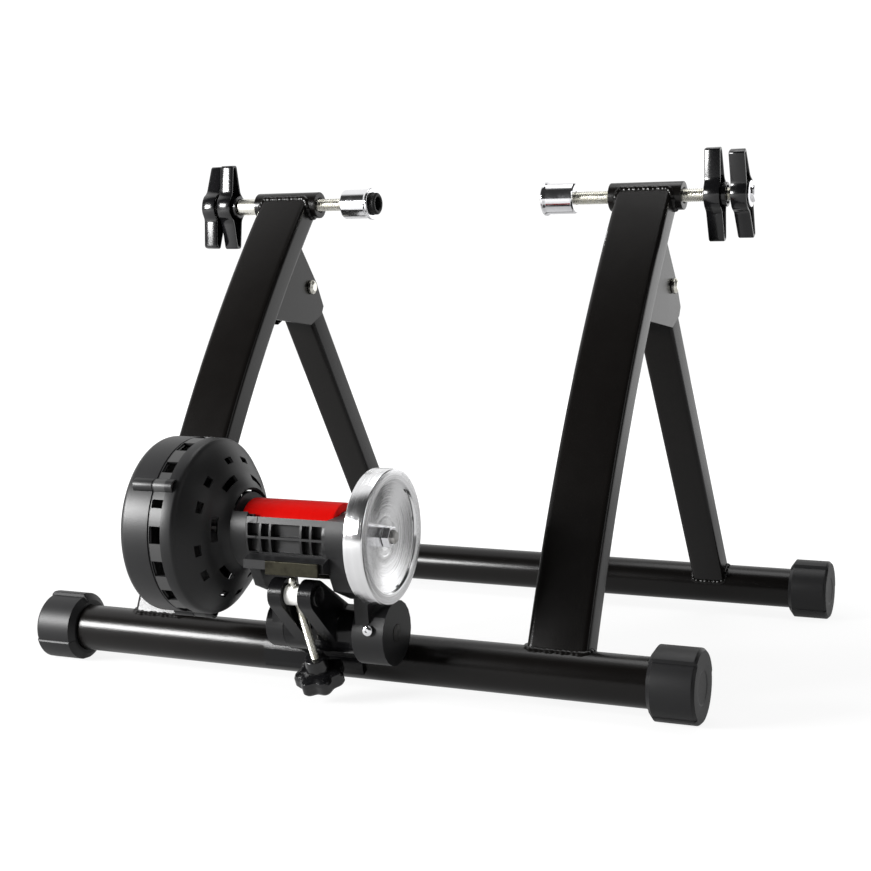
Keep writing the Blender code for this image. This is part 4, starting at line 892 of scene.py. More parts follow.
@dataclass
class Feet:
    """The four levelling feet: rubber cams with stretches of three radii."""

    turns: tuple = (("front_left", 202.0), ("front_right", 235.0), ("rear_left", 204.0),
                    ("rear_right", 222.0))
    wall: float = 0.0084
    fit: float = 0.0003
    high_step: float = 0.0015
    low_step: float = 0.0011
    work_arc: float = 140.0
    high_arc: float = 115.0
    slope_arc: float = 1.2
    end_recess: float = 0.0007
    end_wall: float = 0.0065

    def build(self, bench: Bench) -> None:
        """Build and dress the feet."""
        for place, start in self.turns:
            bench.replace(self.foot(place, start), f"foot_{place}", Finishes.FOOT)

    def cam(self, angle: Array, start: float) -> Array:
        """Return the cam's rise over its working arc: 0, then a high step, then a low one.

        Args:
            angle: Angles in degrees.
            start: Where the working arc starts.

        Returns:
            The rise at each angle.
        """
        turn = (angle - start) % 360.0
        steps = (self.work_arc, self.work_arc + self.high_arc, 360 - self.slope_arc)
        up, down, back = (np.clip((turn - step) / self.slope_arc, 0, 1) for step in steps)
        return self.high_step * up - (self.high_step + self.low_step) * down + self.low_step * back

    def foot(self, place: str, start: float) -> Piece:
        """Return one foot: a profile carried round the rail's axis, with the cam added to its outer rings.

        Args:
            place: The foot's end and side.
            start: Where its cam's working arc starts, in degrees.

        Returns:
            The foot.
        """
        rail = "front_rail" if place.startswith("front") else "rear_rail"
        sign = SIDES[place.split("_")[1]]
        mouth, end = span_of(f"foot_{place}")[::sign]
        bore = radius_of(rail) + self.fit
        radius = bore - self.fit + self.wall
        depth = abs(end - mouth)
        corners = np.array([(self.end_recess, 0.0, 0), (self.end_recess, bore * 0.62, 0),
                            (0.0002, bore * 0.68, 0), (0.0, bore * 0.95, 0), (0.0, radius - 0.002, 1),
                            (0.002, radius, 1), (depth - 0.004, radius, 1), (depth, radius - 0.005, 0.6),
                            (depth, bore, 0), (self.end_wall, bore, 0), (self.end_wall, 0.0, 0)])
        corners[:, 0] = end - sign * corners[:, 0]
        profile = rounded(corners, 0.0007, False)
        angle = np.linspace(0, 360.0, 300, endpoint=False)
        reach = profile[:, 1:2] + profile[:, 2:] * self.cam(angle, start)[None, :]
        grid = line_through(rail).wind(profile[:, :1], reach, np.radians(angle)[None, :])
        grid[..., 2] = np.maximum(grid[..., 2], 0.0)
        return Surface().sheet(grid).built(f"foot_{place}_cam")


@dataclass
class HubClamp:
    """One hub clamp: cup and liner, threaded rod, wing knobs, collar and cap nut."""

    side: str
    lock_turn: float
    clamp_turn: float
    cup_body: float = 0.0135
    cup_lip: float = 0.0149
    cup_bore: float = 0.0105
    cup_hole: float = 0.006
    cup_depth: float = 0.017
    liner_radius: float = 0.0102
    liner_socket: float = 0.0062
    liner_depth: float = 0.012
    pitch: float = 0.00175
    thread_depth: float = 0.0009
    knob_length: float = 0.080
    knob_tip: float = 0.008
    knob_waist: float = 0.0166
    knob_waist_height: float = 0.0130
    knob_middle: float = 0.030
    knob_swell: float = 0.006
    knob_height: float = 0.014
    knob_rim: float = 0.0022
    recess: float = 0.009
    boss_radius: float = 0.0105
    nut_radius: float = 0.0072
    nut_flange: float = 0.0112
    collar_radii: tuple[float, float] = (0.0061, 0.0078)

    def build(self, bench: Bench) -> None:
        """Build and dress the clamp.

        Args:
            bench: Where its pieces go.
        """
        side = self.side
        bench.replace(self.cup(), f"hub_cup_{side}", Finishes.CHROME)
        bench.replace(self.liner(), f"cup_liner_{side}", Finishes.LINER)
        bench.replace(self.rod(), f"clamp_rod_{side}", Finishes.ZINC)
        bench.replace(self.knob("lock", self.lock_turn), f"lock_knob_{side}", Finishes.KNOB)
        bench.replace(self.knob("clamp", self.clamp_turn), f"clamp_knob_{side}", Finishes.KNOB)
        bench.ease(f"lock_insert_{side}", 0.0003, Finishes.ZINC)
        bench.replace(self.cap_nut(), f"cap_nut_{side}", Finishes.CHROME)
        if side == "left":
            bench.replace(self.collar(), "spacer_collar_left", Finishes.ZINC)

    def line(self) -> Line:
        """Return the clamp line."""
        return line_through("axle_sleeve_left")

    def span(self, node: str) -> tuple[float, float]:
        """Return a node's inner and outer X."""
        return span_of(f"{node}_{self.side}")[::SIDES[self.side]]

    def outward(self, start: float, *pairs: tuple[float, float]) -> Array:
        """Turn pairs of a distance outwards from a start and a radius into a profile."""
        return np.array([(start + SIDES[self.side] * step, radius) for step, radius in pairs])

    def cup(self) -> Piece:
        """Return the chrome cup: a flange and a body with a bored mouth.

        Returns:
            The cup.
        """
        mouth, back = self.span("hub_cup")
        long, body, lip = abs(back - mouth), self.cup_body, self.cup_lip
        bore, hole = self.cup_bore, self.cup_hole
        profile = self.outward(mouth, (0.0, bore), (0.0, lip - 0.0006), (0.0007, lip), (0.0022, lip),
                               (0.0042, body), (long - 0.0014, body), (long, body - 0.0014), (long, hole),
                               (self.cup_depth, hole), (self.cup_depth, bore))
        return Surface().turned(self.line(), profile, 96, True, 0.0004).built(f"hub_cup_{self.side}_turned")

    def liner(self) -> Piece:
        """Return the liner: a rounded nose with a chamfered socket for the skewer's end.

        Returns:
            The liner.
        """
        nose, floor = self.span("cup_liner")
        long, outer, socket, depth = abs(floor - nose), self.liner_radius, self.liner_socket, self.liner_depth
        profile = self.outward(nose, (long, 0.0), (long, outer), (0.0012, outer), (0.0, outer - 0.0014),
                               (0.0, socket + 0.0008), (0.0008, socket), (depth, socket), (depth, 0.0))
        surface = Surface().turned(self.line(), profile, 96, False, 0.0004)
        return surface.built(f"cup_liner_{self.side}_moulded")

    def rod(self) -> Piece:
        """Return the threaded rod: the crest's radius less the thread's depth at each place.

        Returns:
            The rod.
        """
        node = f"clamp_rod_{self.side}"
        start, end = span_of(node)
        step = np.linspace(start + 0.0008, end - 0.0004, int((end - start) / self.pitch * 8))[:, None]
        turn = full_circle(40)
        reach = radius_of(node) - self.thread_depth * thread(step, turn, self.pitch, 1.35)
        return Surface().capped(self.line().wind(step, reach, turn)).built(f"{node}_threaded", 60.0)

    def outline(self, shrink: float) -> Array:
        """Return the knob's outline: straight wings that swell to a round middle.

        Args:
            shrink: How far it is drawn in all round.

        Returns:
            The outline's points.
        """
        half = self.knob_length / 2 - shrink
        widths = (self.knob_tip, self.knob_waist, self.knob_middle)
        edge, waist, middle = (width / 2 - shrink for width in widths)
        height, swell = self.knob_waist_height, self.knob_swell
        right = [(edge, half), (waist, height), (middle, swell)]
        right += [(y, -z) for y, z in reversed(right)]
        reach = np.array([0.0022, 0.003, 0.0055, 0.0055, 0.003, 0.0022] * 2)
        return rounded(np.array(right + [(-y, -z) for y, z in right]), reach, True, 9)

    def knob(self, place: str, angle: float) -> Piece:
        """Return a wing knob: stacked outlines from its back, over the rim and down into the recess.

        Args:
            place: Which knob, lock or clamp.
            angle: How far it is turned on the rod, in degrees.

        Returns:
            The knob.
        """
        node = f"{place}_knob_{self.side}"
        back, end = span_of(node)
        top = back + self.knob_height
        floor, rim = top - self.recess, self.knob_rim
        stations = [(back, 0.0018), (back + 0.0004, 0.0006), (back + 0.0014, 0.0), (top - 0.0009, 0.0),
                    (top - 0.0002, 0.0003), (top, 0.0009), (top, rim - 0.0007), (top - 0.0003, rim - 0.0001),
                    (top - 0.001, rim + 0.0001), (floor + 0.001, rim + 0.0005), (floor, rim + 0.0014)]
        turn = math.radians(angle)
        wings = replace(self.line(), across=(0.0, math.cos(turn), math.sin(turn)))
        rings = np.array([wings.place(x, *self.outline(shrink).T) for x, shrink in stations])
        face = end if end > top + 0.001 else top - 0.0006
        boss = plug(floor - 0.001, face, self.boss_radius)
        surface = Surface().capped(rings).turned(self.line(), boss, 72, False, 0.0006)
        return surface.built(f"{node}_moulded", 40.0)

    def cap_nut(self) -> Piece:
        """Return the flange nut with its domed end, whose radius falls as the cosine to the power 0.75.

        Returns:
            The nut.
        """
        face, end = self.span("cap_nut")
        shoulder, radius = abs(end - face) - 0.0022, self.nut_radius
        angle = np.linspace(0, math.pi / 2, 8)[1:]
        crown = np.stack([shoulder + 0.0022 * np.sin(angle), radius * np.cos(angle) ** 0.75], -1)
        profile = self.outward(face, (0.0, 0.0), (0.0, self.nut_flange), (0.0009, self.nut_flange),
                               (0.0016, radius + 0.0004), (shoulder, radius), *crown)
        return Surface().turned(self.line(), profile, 72, False, 0.0002).built(f"cap_nut_{self.side}_turned")

    def collar(self) -> Piece:
        """Return the plain spacer collar."""
        return pipe("spacer_collar_left", "turned", self.collar_radii, 0.0005, 72)


@dataclass
class Drum:
    """The vented drum: a back shell, a domed front shell with its neck, and their screw bosses.

    Each ring of slots has a radius, half the angle of a slot, and the angles of a group's slots.
    """

    radius: float = 0.0684
    wall: float = 0.0022
    seam_edge: float = 0.0009
    neck: float = 0.0310
    dome_edge: float = 0.037
    flare_start: float = 0.0455
    flare_end: float = -0.0545
    band_end: float = -0.0835
    corner: float = 0.0025
    rise: float = 0.0180
    mouth_rise: float = 0.0160
    windows: int = 16
    window_length: float = 0.0095
    window_lip: float = 0.0012
    window_half: float = 5.4
    slot_groups: int = 6
    slot_width: float = 0.0045
    slots: tuple = ((0.0525, 4.9, (13.8, 37.8)), (0.040, 13.5, (55.8,)))
    boss_angles: tuple[float, ...] = (148.0, 268.0, 28.0)
    boss_radius: float = 0.0055
    boss_clear: float = 9.4
    boss_height: float = 0.017
    screw_seat: float = 0.013
    screw_recess: float = 0.0038
    back_edge: float = 0.006
    columns: int = 720
    sharp: float = 38.0

    def build(self, bench: Bench) -> None:
        """Build and dress both shells.

        Args:
            bench: Where its pieces go.
        """
        start = span_of("drum_front_shell")[0] + self.window_lip
        moulding = {**vars(Finishes.HOUSING.value), "name": "housing_band_skin"}
        banded = BandedMoulding(**moulding, centre=self.line().origin, start=start,
                                end=start + self.window_length, radius=self.radius - 0.0006)
        bench.replace(self.front(), "drum_front_shell", banded)
        bench.replace(self.back(), "drum_back_shell", Finishes.HOUSING)

    def line(self) -> Line:
        """Return the spindle line."""
        return line_through("roller_sleeve")

    def off_step(self, angle: Array, steps: int, first: float = 0.0) -> Array:
        """Return how far each angle is from the nearest of a number of even steps, in degrees."""
        pitch = 360.0 / steps
        return np.abs((angle - first + pitch / 2) % pitch - pitch / 2)

    def front_profile(self) -> Array:
        """Return the front shell's places along X and radii, from its seam to its neck's mouth.

        They run along the band, over a round corner, up a dome whose rise is 1 - (1 - t) to the power 1.6
        of the way in, and along a hollow flare that grows as the power 2.2 into the neck.

        Returns:
            The profile.
        """
        seam, mouth = span_of("drum_front_shell")
        start, outer = self.band_end + self.corner, self.radius - self.corner
        slot_edges = [radius + sign * self.slot_width / 2 for radius, _, _ in self.slots for sign in (1, -1)]
        radii = np.unique(np.concatenate([np.linspace(self.neck, outer, 36), slot_edges]))[::-1]
        way = np.minimum((outer - radii) / (outer - self.dome_edge), 1.0)
        narrowed = np.maximum((self.flare_start - radii) / (self.flare_start - self.neck), 0.0)
        flare = (self.flare_end - start - self.rise) * narrowed ** 2.2
        dome = np.stack([start + self.rise * (1 - (1 - way) ** 1.6) + flare, radii], -1)
        window = seam + self.window_lip
        full, end = self.radius, self.band_end
        band = [(seam, full - self.seam_edge), (seam + 0.0005, full), (window, full),
                (window + self.window_length, full), (end - 0.0004, full), (end + 0.0008, full - 0.0005),
                (end + 0.0018, full - 0.0014)]
        return np.vstack([band, dome, [(mouth, self.neck)]])

    def holes(self, x: Array, radius: Array, angle: Array) -> Array:
        """Mark the cells of the front shell's grid that lie in a window, a slot or the neck's open top.

        Args:
            x: The cells' places along X, by row.
            radius: Their radii, by row.
            angle: Their angles in degrees, by column.

        Returns:
            True for each cell that is left out.
        """
        window = span_of("drum_front_shell")[0] + self.window_lip
        in_window = (x > window) & (x < window + self.window_length) & (radius > self.radius - 0.0001)
        near_boss = np.min([self.off_step(angle, 1, boss) for boss in self.boss_angles], 0) < self.boss_clear
        hole = in_window[:, None] & (self.off_step(angle, self.windows) < self.window_half) & ~near_boss
        above = radius[:, None] * np.sin(np.radians(angle)) > self.mouth_rise
        hole |= (x > self.flare_end)[:, None] & above
        for middle, half, starts in self.slots:
            in_ring = (np.abs(radius - middle) < self.slot_width / 2) & (x > self.band_end)
            for first in starts:
                hole |= in_ring[:, None] & (self.off_step(angle, self.slot_groups, first) < half)
        return hole

    def front(self) -> Piece:
        """Return the front shell: its profile carried round the spindle line, less its holes.

        Returns:
            The shell with its bosses.
        """
        profile = self.front_profile()
        angle = np.arange(self.columns) * 360.0 / self.columns
        x, radius = ((profile[:-1] + profile[1:]) / 2).T
        hole = self.holes(x, radius, angle + 180.0 / self.columns)
        grid = self.line().wind(profile[:, :1], profile[:, 1:], np.radians(angle))
        shell = Surface().sheet(grid, keep=~hole).built("drum_front_shell_moulded", self.sharp)
        seam = profile[0, 0]
        return self.closed(shell, seam, seam + self.boss_height, seam + self.screw_seat)

    def back(self) -> Piece:
        """Return the back shell: a shallow cup with a round edge and a low raised ring.

        Returns:
            The shell with its bosses.
        """
        back, seam = span_of("drum_back_shell")
        edge, radius = self.back_edge, self.radius
        turn = np.linspace(math.pi / 2, 0, 9)
        round_edge = np.stack([back + edge * (1 - np.sin(turn)), radius - edge * (1 - np.cos(turn))], -1)
        disc = [(back, 0.0), (back, 0.012), (back + 0.0008, 0.0132), (back + 0.0008, 0.034), (back, 0.0352),
                (back, radius - edge - 0.002)]
        profile = np.vstack([disc, round_edge, [(seam - 0.0005, radius), (seam, radius - self.seam_edge)]])
        shell = Surface().turned(self.line(), profile, 180).built("drum_back_shell_moulded", self.sharp)
        return self.closed(shell, back + 0.009, seam, seam - 0.001)

    def closed(self, shell: Piece, start: float, end: float, floor: float) -> Piece:
        """Give a shell its wall, and join the screw bosses to it as closed posts.

        Args:
            shell: The shell.
            start: Where the posts start.
            end: Where they end.
            floor: The bottom of the screw's recess, where it lies well below the end.

        Returns:
            The shell.
        """
        wall = shell.modifiers.new("wall", "SOLIDIFY")
        wall.thickness = self.wall
        wall.offset = -1.0
        solid = bpy.data.meshes.new_from_object(shell.evaluated_get(bpy.context.evaluated_depsgraph_get()))
        shell.modifiers.clear()
        post = plug(start, end, self.boss_radius)
        if start + 0.005 < floor < end - 0.002:
            post = post[:3] + [(end, self.screw_recess), (floor, self.screw_recess), (floor, 0.0)]
        surface = Surface()
        _, y, z = self.line().origin
        reach = self.radius - self.boss_radius * 0.25
        for turn in np.radians(self.boss_angles):
            line = Line((0.0, y + reach * math.cos(turn), z + reach * math.sin(turn)))
            surface.turned(line, post, 40, False, 0.0006)
        posts = surface.built("posts")
        shape = bmesh.new()
        shape.from_mesh(solid)
        shape.from_mesh(posts.data)
        shape.to_mesh(shell.data)
        shape.free()
        bpy.data.objects.remove(posts)
        shell.data.shade_smooth()
        shell.data.set_sharp_from_angle(angle=math.radians(self.sharp))
        return shell


@dataclass
class Spindle:
    """What spins: the roller, the flywheel and its nut."""

    rim: float = 0.0085
    hub: float = 0.014
    hub_share: float = 0.62
    bore: float = 0.005
    web_step: float = 0.003
    dish: float = 0.0042
    step: float = 0.0016
    bevel: float = 0.0012
    edge: float = 0.0008
    mark_radius: float = 0.0404
    mark_half: float = 3.5
    mark_angles: tuple[float, ...] = (52.0, 13.0, -73.0)

    def build(self, bench: Bench) -> None:
        """Build and dress the spinning pieces.

        Args:
            bench: Where its pieces go.
        """
        axis = line_through("roller_sleeve")
        aluminium = Turning("turned_aluminium_skin", (0.93, 0.93, 0.94), 0.17, metallic=1.0,
                            centre=axis.origin, spread=0.8, pitch=0.0003)
        red = Turning("roller_red_skin", (0.44, 0.0016, 0.0006), 0.42, specular=0.05, centre=axis.origin,
                      spread=0.05, pitch=0.0009)
        bench.replace(self.roller(), "roller_sleeve", red)
        bench.replace(self.flywheel(axis), "flywheel", aluminium)
        bench.attach(self.marks(axis), "spindle", "machined_aluminium", Finishes.OXIDE)
        bench.ease("flywheel_nut", 0.0006, Finishes.CHROME)
        bench.dress(Finishes.OXIDE, "brake_rotor")
        bench.dress(Finishes.BARE, "roller_core", "spindle_shaft")

    def roller(self) -> Piece:
        """Return the roller's sleeve with rounded ends."""
        radii = (radius_of("roller_core") + 0.0003, radius_of("roller_sleeve"))
        return pipe("roller_sleeve", "turned", radii, 0.0012)

    def flywheel(self, axis: Line) -> Piece:
        """Return the flywheel: a flat rim, a face dished as a quarter sine, and a hub.

        Args:
            axis: The spindle line.

        Returns:
            The flywheel.
        """
        (back, face), radius = span_of("flywheel"), radius_of("flywheel")
        inside, web, edge = radius - self.rim, back + self.web_step, self.edge
        hub_face = back + (face - back) * self.hub_share
        t = np.linspace(0, 1, 16)
        slope = inside - self.bevel + (self.hub + 0.001 - inside + self.bevel) * t
        dish = np.stack([face - self.step - self.dish * np.sin(math.pi / 2 * t), slope], -1)
        rim = [(back, self.bore), (back, self.hub), (web, self.hub + 0.002), (web, inside - 0.004),
               (back, inside), (back, radius - edge), (back + edge, radius), (face - edge, radius),
               (face, radius - edge), (face, inside)]
        hub = [(hub_face, self.hub), (hub_face, self.bore)]
        profile = rounded(np.vstack([rim, dish, hub]), 0.0003, True, 3)
        return Surface().turned(axis, profile, 192, True).built("flywheel_turned", 24.0)

    def marks(self, axis: Line) -> Piece:
        """Return three short dark marks on the dish, just inside the rim, each tapered as half a sine.

        Args:
            axis: The spindle line.

        Returns:
            The marks.
        """
        face = span_of("flywheel")[1] - self.step
        surface = Surface()
        width = 0.0006 * np.sin(np.linspace(0.15, math.pi - 0.15, 9))[:, None]
        for angle in self.mark_angles:
            turn = np.radians(np.linspace(angle - self.mark_half, angle + self.mark_half, 9))[:, None]
            radius = self.mark_radius + width * np.array([[-1.0, 1.0, 1.0, -1.0]])
            step = face + np.array([[0.0001, 0.0001, -0.0006, -0.0006]])
            surface.capped(axis.wind(step, radius, turn))
        return surface.built("flywheel_marks")


@dataclass
class RollerUnit:
    """The cradle on its pivot, with what is fixed to it, and the bracket on the rail."""

    dome_turn: float = 1.15
    socket: float = 0.0013
    socket_depth: float = 0.001

    def build(self, bench: Bench) -> None:
        """Build and dress the cradle, the bracket and their fasteners.

        Args:
            bench: Where its pieces go.
        """
        bench.ease("cradle", 0.0005, Finishes.HOUSING)
        bench.ease("rail_bracket", 0.0011, Finishes.CASTING, 3)
        bench.ease("wear_plate", 0.0007, Finishes.OLIVE_ZINC)
        bench.replace(self.barrel_screw(), "barrel_screw", Finishes.CHROME)
        bench.dress(Finishes.OXIDE, "pivot_bolt", "pivot_nut", "magnet_carrier")
        bench.dress(Finishes.OXIDE, *(f"drum_screw_{number}" for number in range(1, 4)))
        bench.dress(Finishes.OXIDE, *(f"magnet_{number}" for number in range(1, 5)))
        bench.dress(Finishes.CHROME, *(f"spindle_bearing_{side}" for side in SIDES))

    def barrel_screw(self) -> Piece:
        """Return the small screw head: a dome that is part of a circle, with its driving socket.

        Returns:
            The screw head.
        """
        low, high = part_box("barrel_screw")
        middle = (low + high) / 2
        line = Line((middle.x, high.y, middle.z), (0.0, -1.0, 0.0), (1.0, 0.0, 0.0))
        radius, height = (high.x - low.x) / 2, high.y - low.y
        turn = np.linspace(0, self.dome_turn, 8)
        dome = np.stack([height * (0.45 + 0.55 * np.sin(turn) / math.sin(self.dome_turn)),
                         radius * np.cos(turn)], -1)
        floor = height - self.socket_depth
        profile = np.vstack([[(0.0, 0.0), (0.0, radius)], dome,
                             [(height, self.socket), (floor, self.socket), (floor, 0.0)]])
        return Surface().turned(line, profile, 48).built("barrel_screw_domed")


@dataclass
class Adjuster:
    """The jack: trunnion block, threaded bolt and star knob."""

    lean: float = 28.6
    hub_reach: float = 0.060
    hub_height: float = 0.011
    hub_radius: float = 0.010
    star_radius: float = 0.020
    star_height: float = 0.014
    lobe_depth: float = 0.0034
    lobes: int = 7
    bolt_radius: float = 0.0032
    thread_depth: float = 0.0006
    pitch: float = 0.00125
    nose_length: float = 0.0035
    plain_tip: float = 0.006
    ear_spread: float = 0.0126
    ear_thickness: float = 0.0112
    ear_boss: tuple[float, float] = (0.0078, 0.0074)
    stub: float = 0.004

    def build(self, bench: Bench) -> None:
        """Build and dress the jack.

        Args:
            bench: Where its pieces go.
        """
        bench.replace(self.trunnion(), "trunnion_block", Finishes.SPACER)
        bench.replace(self.bolt(), "jack_bolt", Finishes.ZINC)
        bench.replace(self.star(), "star_knob", Finishes.KNOB)
        bench.attach(self.ear_bosses(), "base", "powder_black", Finishes.CASTING)

    def line(self) -> Line:
        """Return the bolt's line, counted from the trunnion, up and to the front."""
        turn = math.radians(self.lean)
        return Line(tuple(centre_of("trunnion_block")), (0.0, -math.sin(turn), math.cos(turn)),
                    (1.0, 0.0, 0.0))

    def trunnion(self) -> Piece:
        """Return the turned block with its two stubs.

        Returns:
            The block.
        """
        start, end = span_of("trunnion_block")
        radius, reach, stub = radius_of("trunnion_block"), (end - start) / 2, self.stub
        shoulder = self.ear_spread - self.ear_thickness / 2 - 0.0003
        profile = [(-reach, 0.0), (-reach, stub), (-shoulder, stub), (-shoulder, radius), (shoulder, radius),
                   (shoulder, stub), (reach, stub), (reach, 0.0)]
        surface = Surface().turned(line_through("trunnion_block"), profile, 96, False, 0.0006)
        return surface.built("trunnion_block_turned")

    def ear_bosses(self) -> Piece:
        """Return the low round bosses on the outer faces of the bracket's ears.

        Returns:
            Both bosses.
        """
        outside = self.ear_spread + self.ear_thickness / 2
        root, top = self.ear_boss
        surface = Surface()
        for sign in SIDES.values():
            near, far = sign * (outside - 0.001), sign * (outside + 0.0012)
            surface.turned(line_through("trunnion_block"), plug(near, far, root, top), 64, False, 0.0006)
        return surface.built("ear_bosses")

    def bolt(self) -> Piece:
        """Return the threaded bolt: the groove winds as on the clamp rods and fades before the plain tip.

        The tip's radius falls as the square root of the distance that is left.

        Returns:
            The bolt.
        """
        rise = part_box("jack_bolt")[1].z - centre_of("trunnion_block").z
        tip = rise / math.cos(math.radians(self.lean))
        foot = -self.hub_reach - self.hub_height - self.star_height / 2
        step = np.linspace(foot, tip - 0.0002, int((tip - foot) / self.pitch * 8))[:, None]
        turn = full_circle(32)
        groove = thread(step, turn, self.pitch, 1.3) * np.clip((tip - self.plain_tip - step) / 0.001, 0, 1)
        nose = np.sqrt(np.clip((tip - step) / self.nose_length, 0.04, 1))
        grid = self.line().wind(step, (self.bolt_radius - self.thread_depth * groove) * nose, turn)
        return Surface().capped(grid).built("jack_bolt_threaded", 60.0)

    def star(self) -> Piece:
        """Return the star knob.

        The grip's radius is the star's less half the lobe's depth times 1 - cos(lobes x turn), drawn in
        over its crowned top and its rounded bottom. The hub is a turned cone on top.

        Returns:
            The knob.
        """
        top = -self.hub_reach
        grip = top - self.hub_height
        bottom = grip - self.star_height
        turn = full_circle(224)
        profile = rounded([(bottom, 0.0), (bottom, 0.76), (bottom + 0.0012, 0.93), (bottom + 0.0035, 1.0),
                           (grip - 0.0045, 1.0), (grip - 0.0018, 0.94), (grip, 0.74), (grip + 0.0006, 0.5),
                           (grip + 0.0008, 0.0)], 0.0012, False, 6)
        lobe = self.star_radius - self.lobe_depth * (1 - np.cos(self.lobes * turn)) / 2
        even, share = self.star_radius * 0.86, profile[:, 1:]
        reach = share * (even + (lobe - even) * np.clip(share * 1.6 - 0.6, 0, 1))
        surface = Surface().sheet(self.line().wind(profile[:, :1], reach, turn))
        hub = plug(grip - 0.003, top, self.hub_radius, self.hub_radius * 0.8)
        return surface.turned(self.line(), hub, 72, False, 0.0008).built("star_knob_moulded", 50.0)


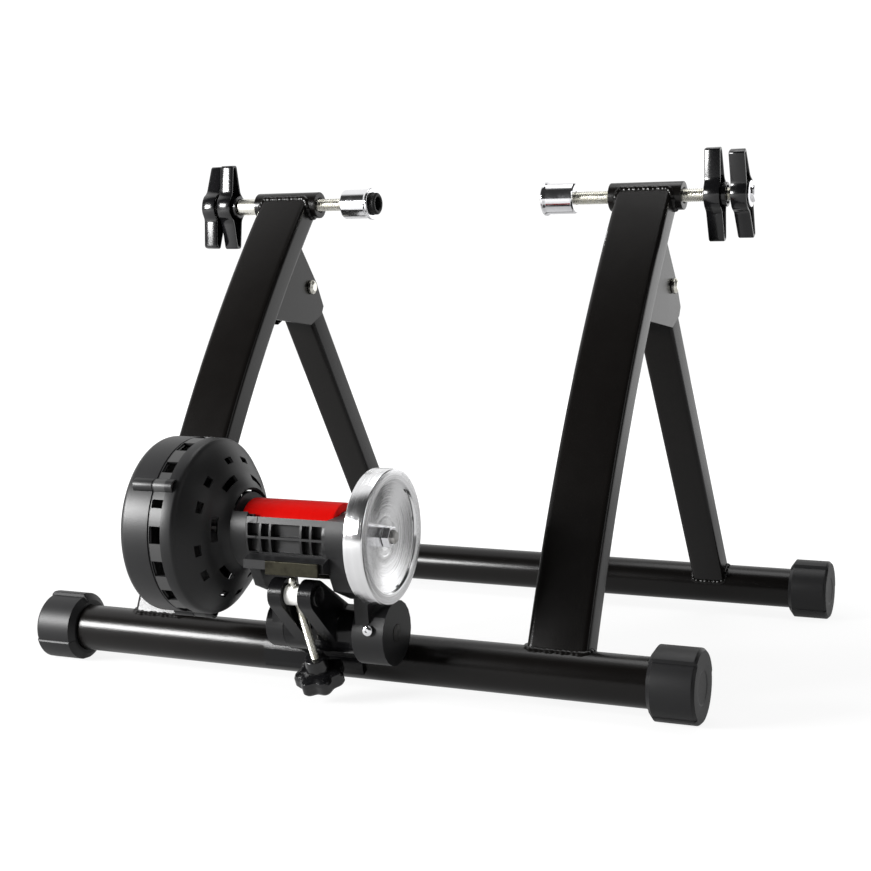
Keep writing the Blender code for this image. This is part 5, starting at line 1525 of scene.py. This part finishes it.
@dataclass
class Studio:
    """The floor, the lights, the world and the photograph's camera.

    Each lamp has a name, its place, what it faces, its width and height, and its power in watts.
    """

    location: Triple = (0.5797, -1.29215, 0.2961)
    azimuth: float = 23.668
    elevation: float = 2.907
    roll: float = 0.23
    frame_pixels: float = 871.0
    focal_pixels: float = 1593.56
    centre_pixels: tuple[float, float] = (454.74, 395.48)
    sensor: float = 36.0
    floor_white: float = 0.5
    floor_reach: float = 6.0
    floor_drop: float = 0.0003
    glow: float = 1.25
    near_rings: tuple[float, float] = (0.35, 0.85)
    far_rings: tuple[float, float] = (1.2, 2.6)
    seen_white: float = 0.7
    gloss_white: float = 0.25
    sky_light: float = 0.9
    rear_light: float = 1.4
    side_light: float = 0.15
    least_light: float = 0.03
    plain_light: float = 0.3
    seen_light: float = 1.05
    lamps: tuple = (("lamp_key", (-1.36, -1.46, 0.66), (-0.08, -0.1, 0.24), (0.85, 0.5), 80.0),
                    ("lamp_right", (1.9, -0.2, 0.9), (0.1, 0.0, 0.22), (0.5, 1.2), 3.0),
                    ("lamp_top", (0.1, 0.3, 2.0), (0.0, 0.0, 0.1), (1.2, 0.9), 9.0))

    def build(self) -> None:
        """Build the stage."""
        bpy.context.scene.view_settings.view_transform = "Standard"
        self.camera()
        self.floor()
        self.world()
        for lamp in self.lamps:
            self.lamp(*lamp)

    def camera(self) -> None:
        """Place the camera from its azimuth, elevation and roll, with the lens and shift of its pixels."""
        lens = bpy.data.cameras.new("photo_camera")
        lens.sensor_width = self.sensor
        lens.lens = self.focal_pixels * self.sensor / self.frame_pixels
        lens.shift_x = (self.frame_pixels / 2 - self.centre_pixels[0]) / self.frame_pixels
        lens.shift_y = (self.centre_pixels[1] - self.frame_pixels / 2) / self.frame_pixels
        lens.clip_start = 0.01
        camera = bpy.data.objects.new("photo_camera", lens)
        camera.matrix_world = Matrix.Translation(self.location)
        for angle, axis in ((self.azimuth, "Z"), (90.0 - self.elevation, "X"), (self.roll, "Z")):
            camera.matrix_world @= Matrix.Rotation(math.radians(angle), 4, axis)
        bpy.context.scene.collection.objects.link(camera)
        bpy.context.scene.camera = camera

    def floor(self) -> None:
        """Lay a wide pale floor, seen nearly white but for the object's shadow."""
        across, deep = np.meshgrid(*[np.linspace(-self.floor_reach, self.floor_reach, 3)] * 2)
        grid = np.stack([across, deep, np.full_like(across, -self.floor_drop)], -1)
        floor = Surface().sheet(grid, wrap_columns=False).built("studio_floor")
        material = bpy.data.materials.new("studio_floor_paint")
        material.use_nodes = True
        tree = material.node_tree
        graph = Graph(tree)
        tree.nodes.remove(tree.nodes["Principled BSDF"])
        paint = graph.add("ShaderNodeBsdfDiffuse", None, {0: (self.floor_white,) * 3})
        glow = graph.add("ShaderNodeEmission", None, {0: (1.0, 1.0, 1.0), 1: self.glow})
        eye, gloss = graph.rays("Camera"), graph.rays("Glossy")
        x, y, _ = graph.parts(graph.place())
        radius = x.hypotenuse(y)
        far, dull = self.seen_white, self.gloss_white
        seen = eye * (radius.between(*self.near_rings) * (1 - far) + far)
        seen += gloss * (radius.between(*self.far_rings) * 0.6 + dull)
        mixed = graph.add("ShaderNodeMixShader", None, {0: seen, 1: paint, 2: glow})
        graph.feed(tree.nodes["Material Output"].inputs["Surface"], mixed)
        floor.data.materials.append(material)
        floor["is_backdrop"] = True

    def world(self) -> None:
        """Light from all round: white to the eye, and a studio of bright boxes to gloss."""
        world = bpy.data.worlds.new("studio_world")
        bpy.context.scene.world = world
        world.use_nodes = True
        graph = Graph(world.node_tree)
        x, y, z = graph.parts(graph.add("ShaderNodeTexCoord", output="Generated"))
        back_sky = y.between(-0.35, 0.0) * z.between(0.0, 0.25) * (1 - x.between(0.0, 0.3))
        behind = (x * 0.4 + y * 0.91).between(0.80, 0.96)
        beside = x.between(0.75, 0.95)
        studio = back_sky * self.sky_light + behind * self.rear_light + beside * self.side_light
        studio += self.least_light
        eye, gloss = graph.rays("Camera"), graph.rays("Glossy")
        background = world.node_tree.nodes["Background"]
        background.inputs["Color"].default_value = (1.0, 1.0, 1.0, 1.0)
        unseen = gloss * studio + (1 - gloss) * self.plain_light
        graph.feed(background.inputs["Strength"], eye * self.seen_light + (1 - eye) * unseen)

    def lamp(self, name: str, place: Triple, target: Triple, size: tuple[float, float], power: float) -> None:
        """Add a soft rectangular lamp that faces a target.

        Args:
            name: The lamp's name.
            place: Where it hangs.
            target: What it faces.
            size: Its width and height.
            power: Its power in watts.
        """
        light = bpy.data.lights.new(name, "AREA")
        light.shape = "RECTANGLE"
        light.size, light.size_y = size
        light.energy = power
        lamp = bpy.data.objects.new(name, light)
        aim = Vector(target) - Vector(place)
        lamp.matrix_world = Matrix.Translation(place) @ aim.to_track_quat("-Z", "Y").to_matrix().to_4x4()
        bpy.context.scene.collection.objects.link(lamp)


def corners() -> list[list[float]]:
    """Return the whole object's box as plain lists."""
    return [[float(value) for value in corner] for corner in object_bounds()]


def main() -> None:
    """Build the studio and every sub-assembly, and report what each node became."""
    logging.basicConfig(level=logging.INFO, format="%(message)s")
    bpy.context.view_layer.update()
    bench = Bench(frame["record"])
    Studio().build()
    clamps = (HubClamp("left", 6.0, -9.0), HubClamp("right", 14.0, 29.0))
    for sub_assembly in (StandFrame(), Feet(), *clamps, Drum(), Spindle(), RollerUnit(), Adjuster()):
        sub_assembly.build(bench)
    left_plain = sorted(set(bench.body) - bench.done)
    LOG.info("nodes left plain: %s", left_plain)


if __name__ == "__main__":
    main()
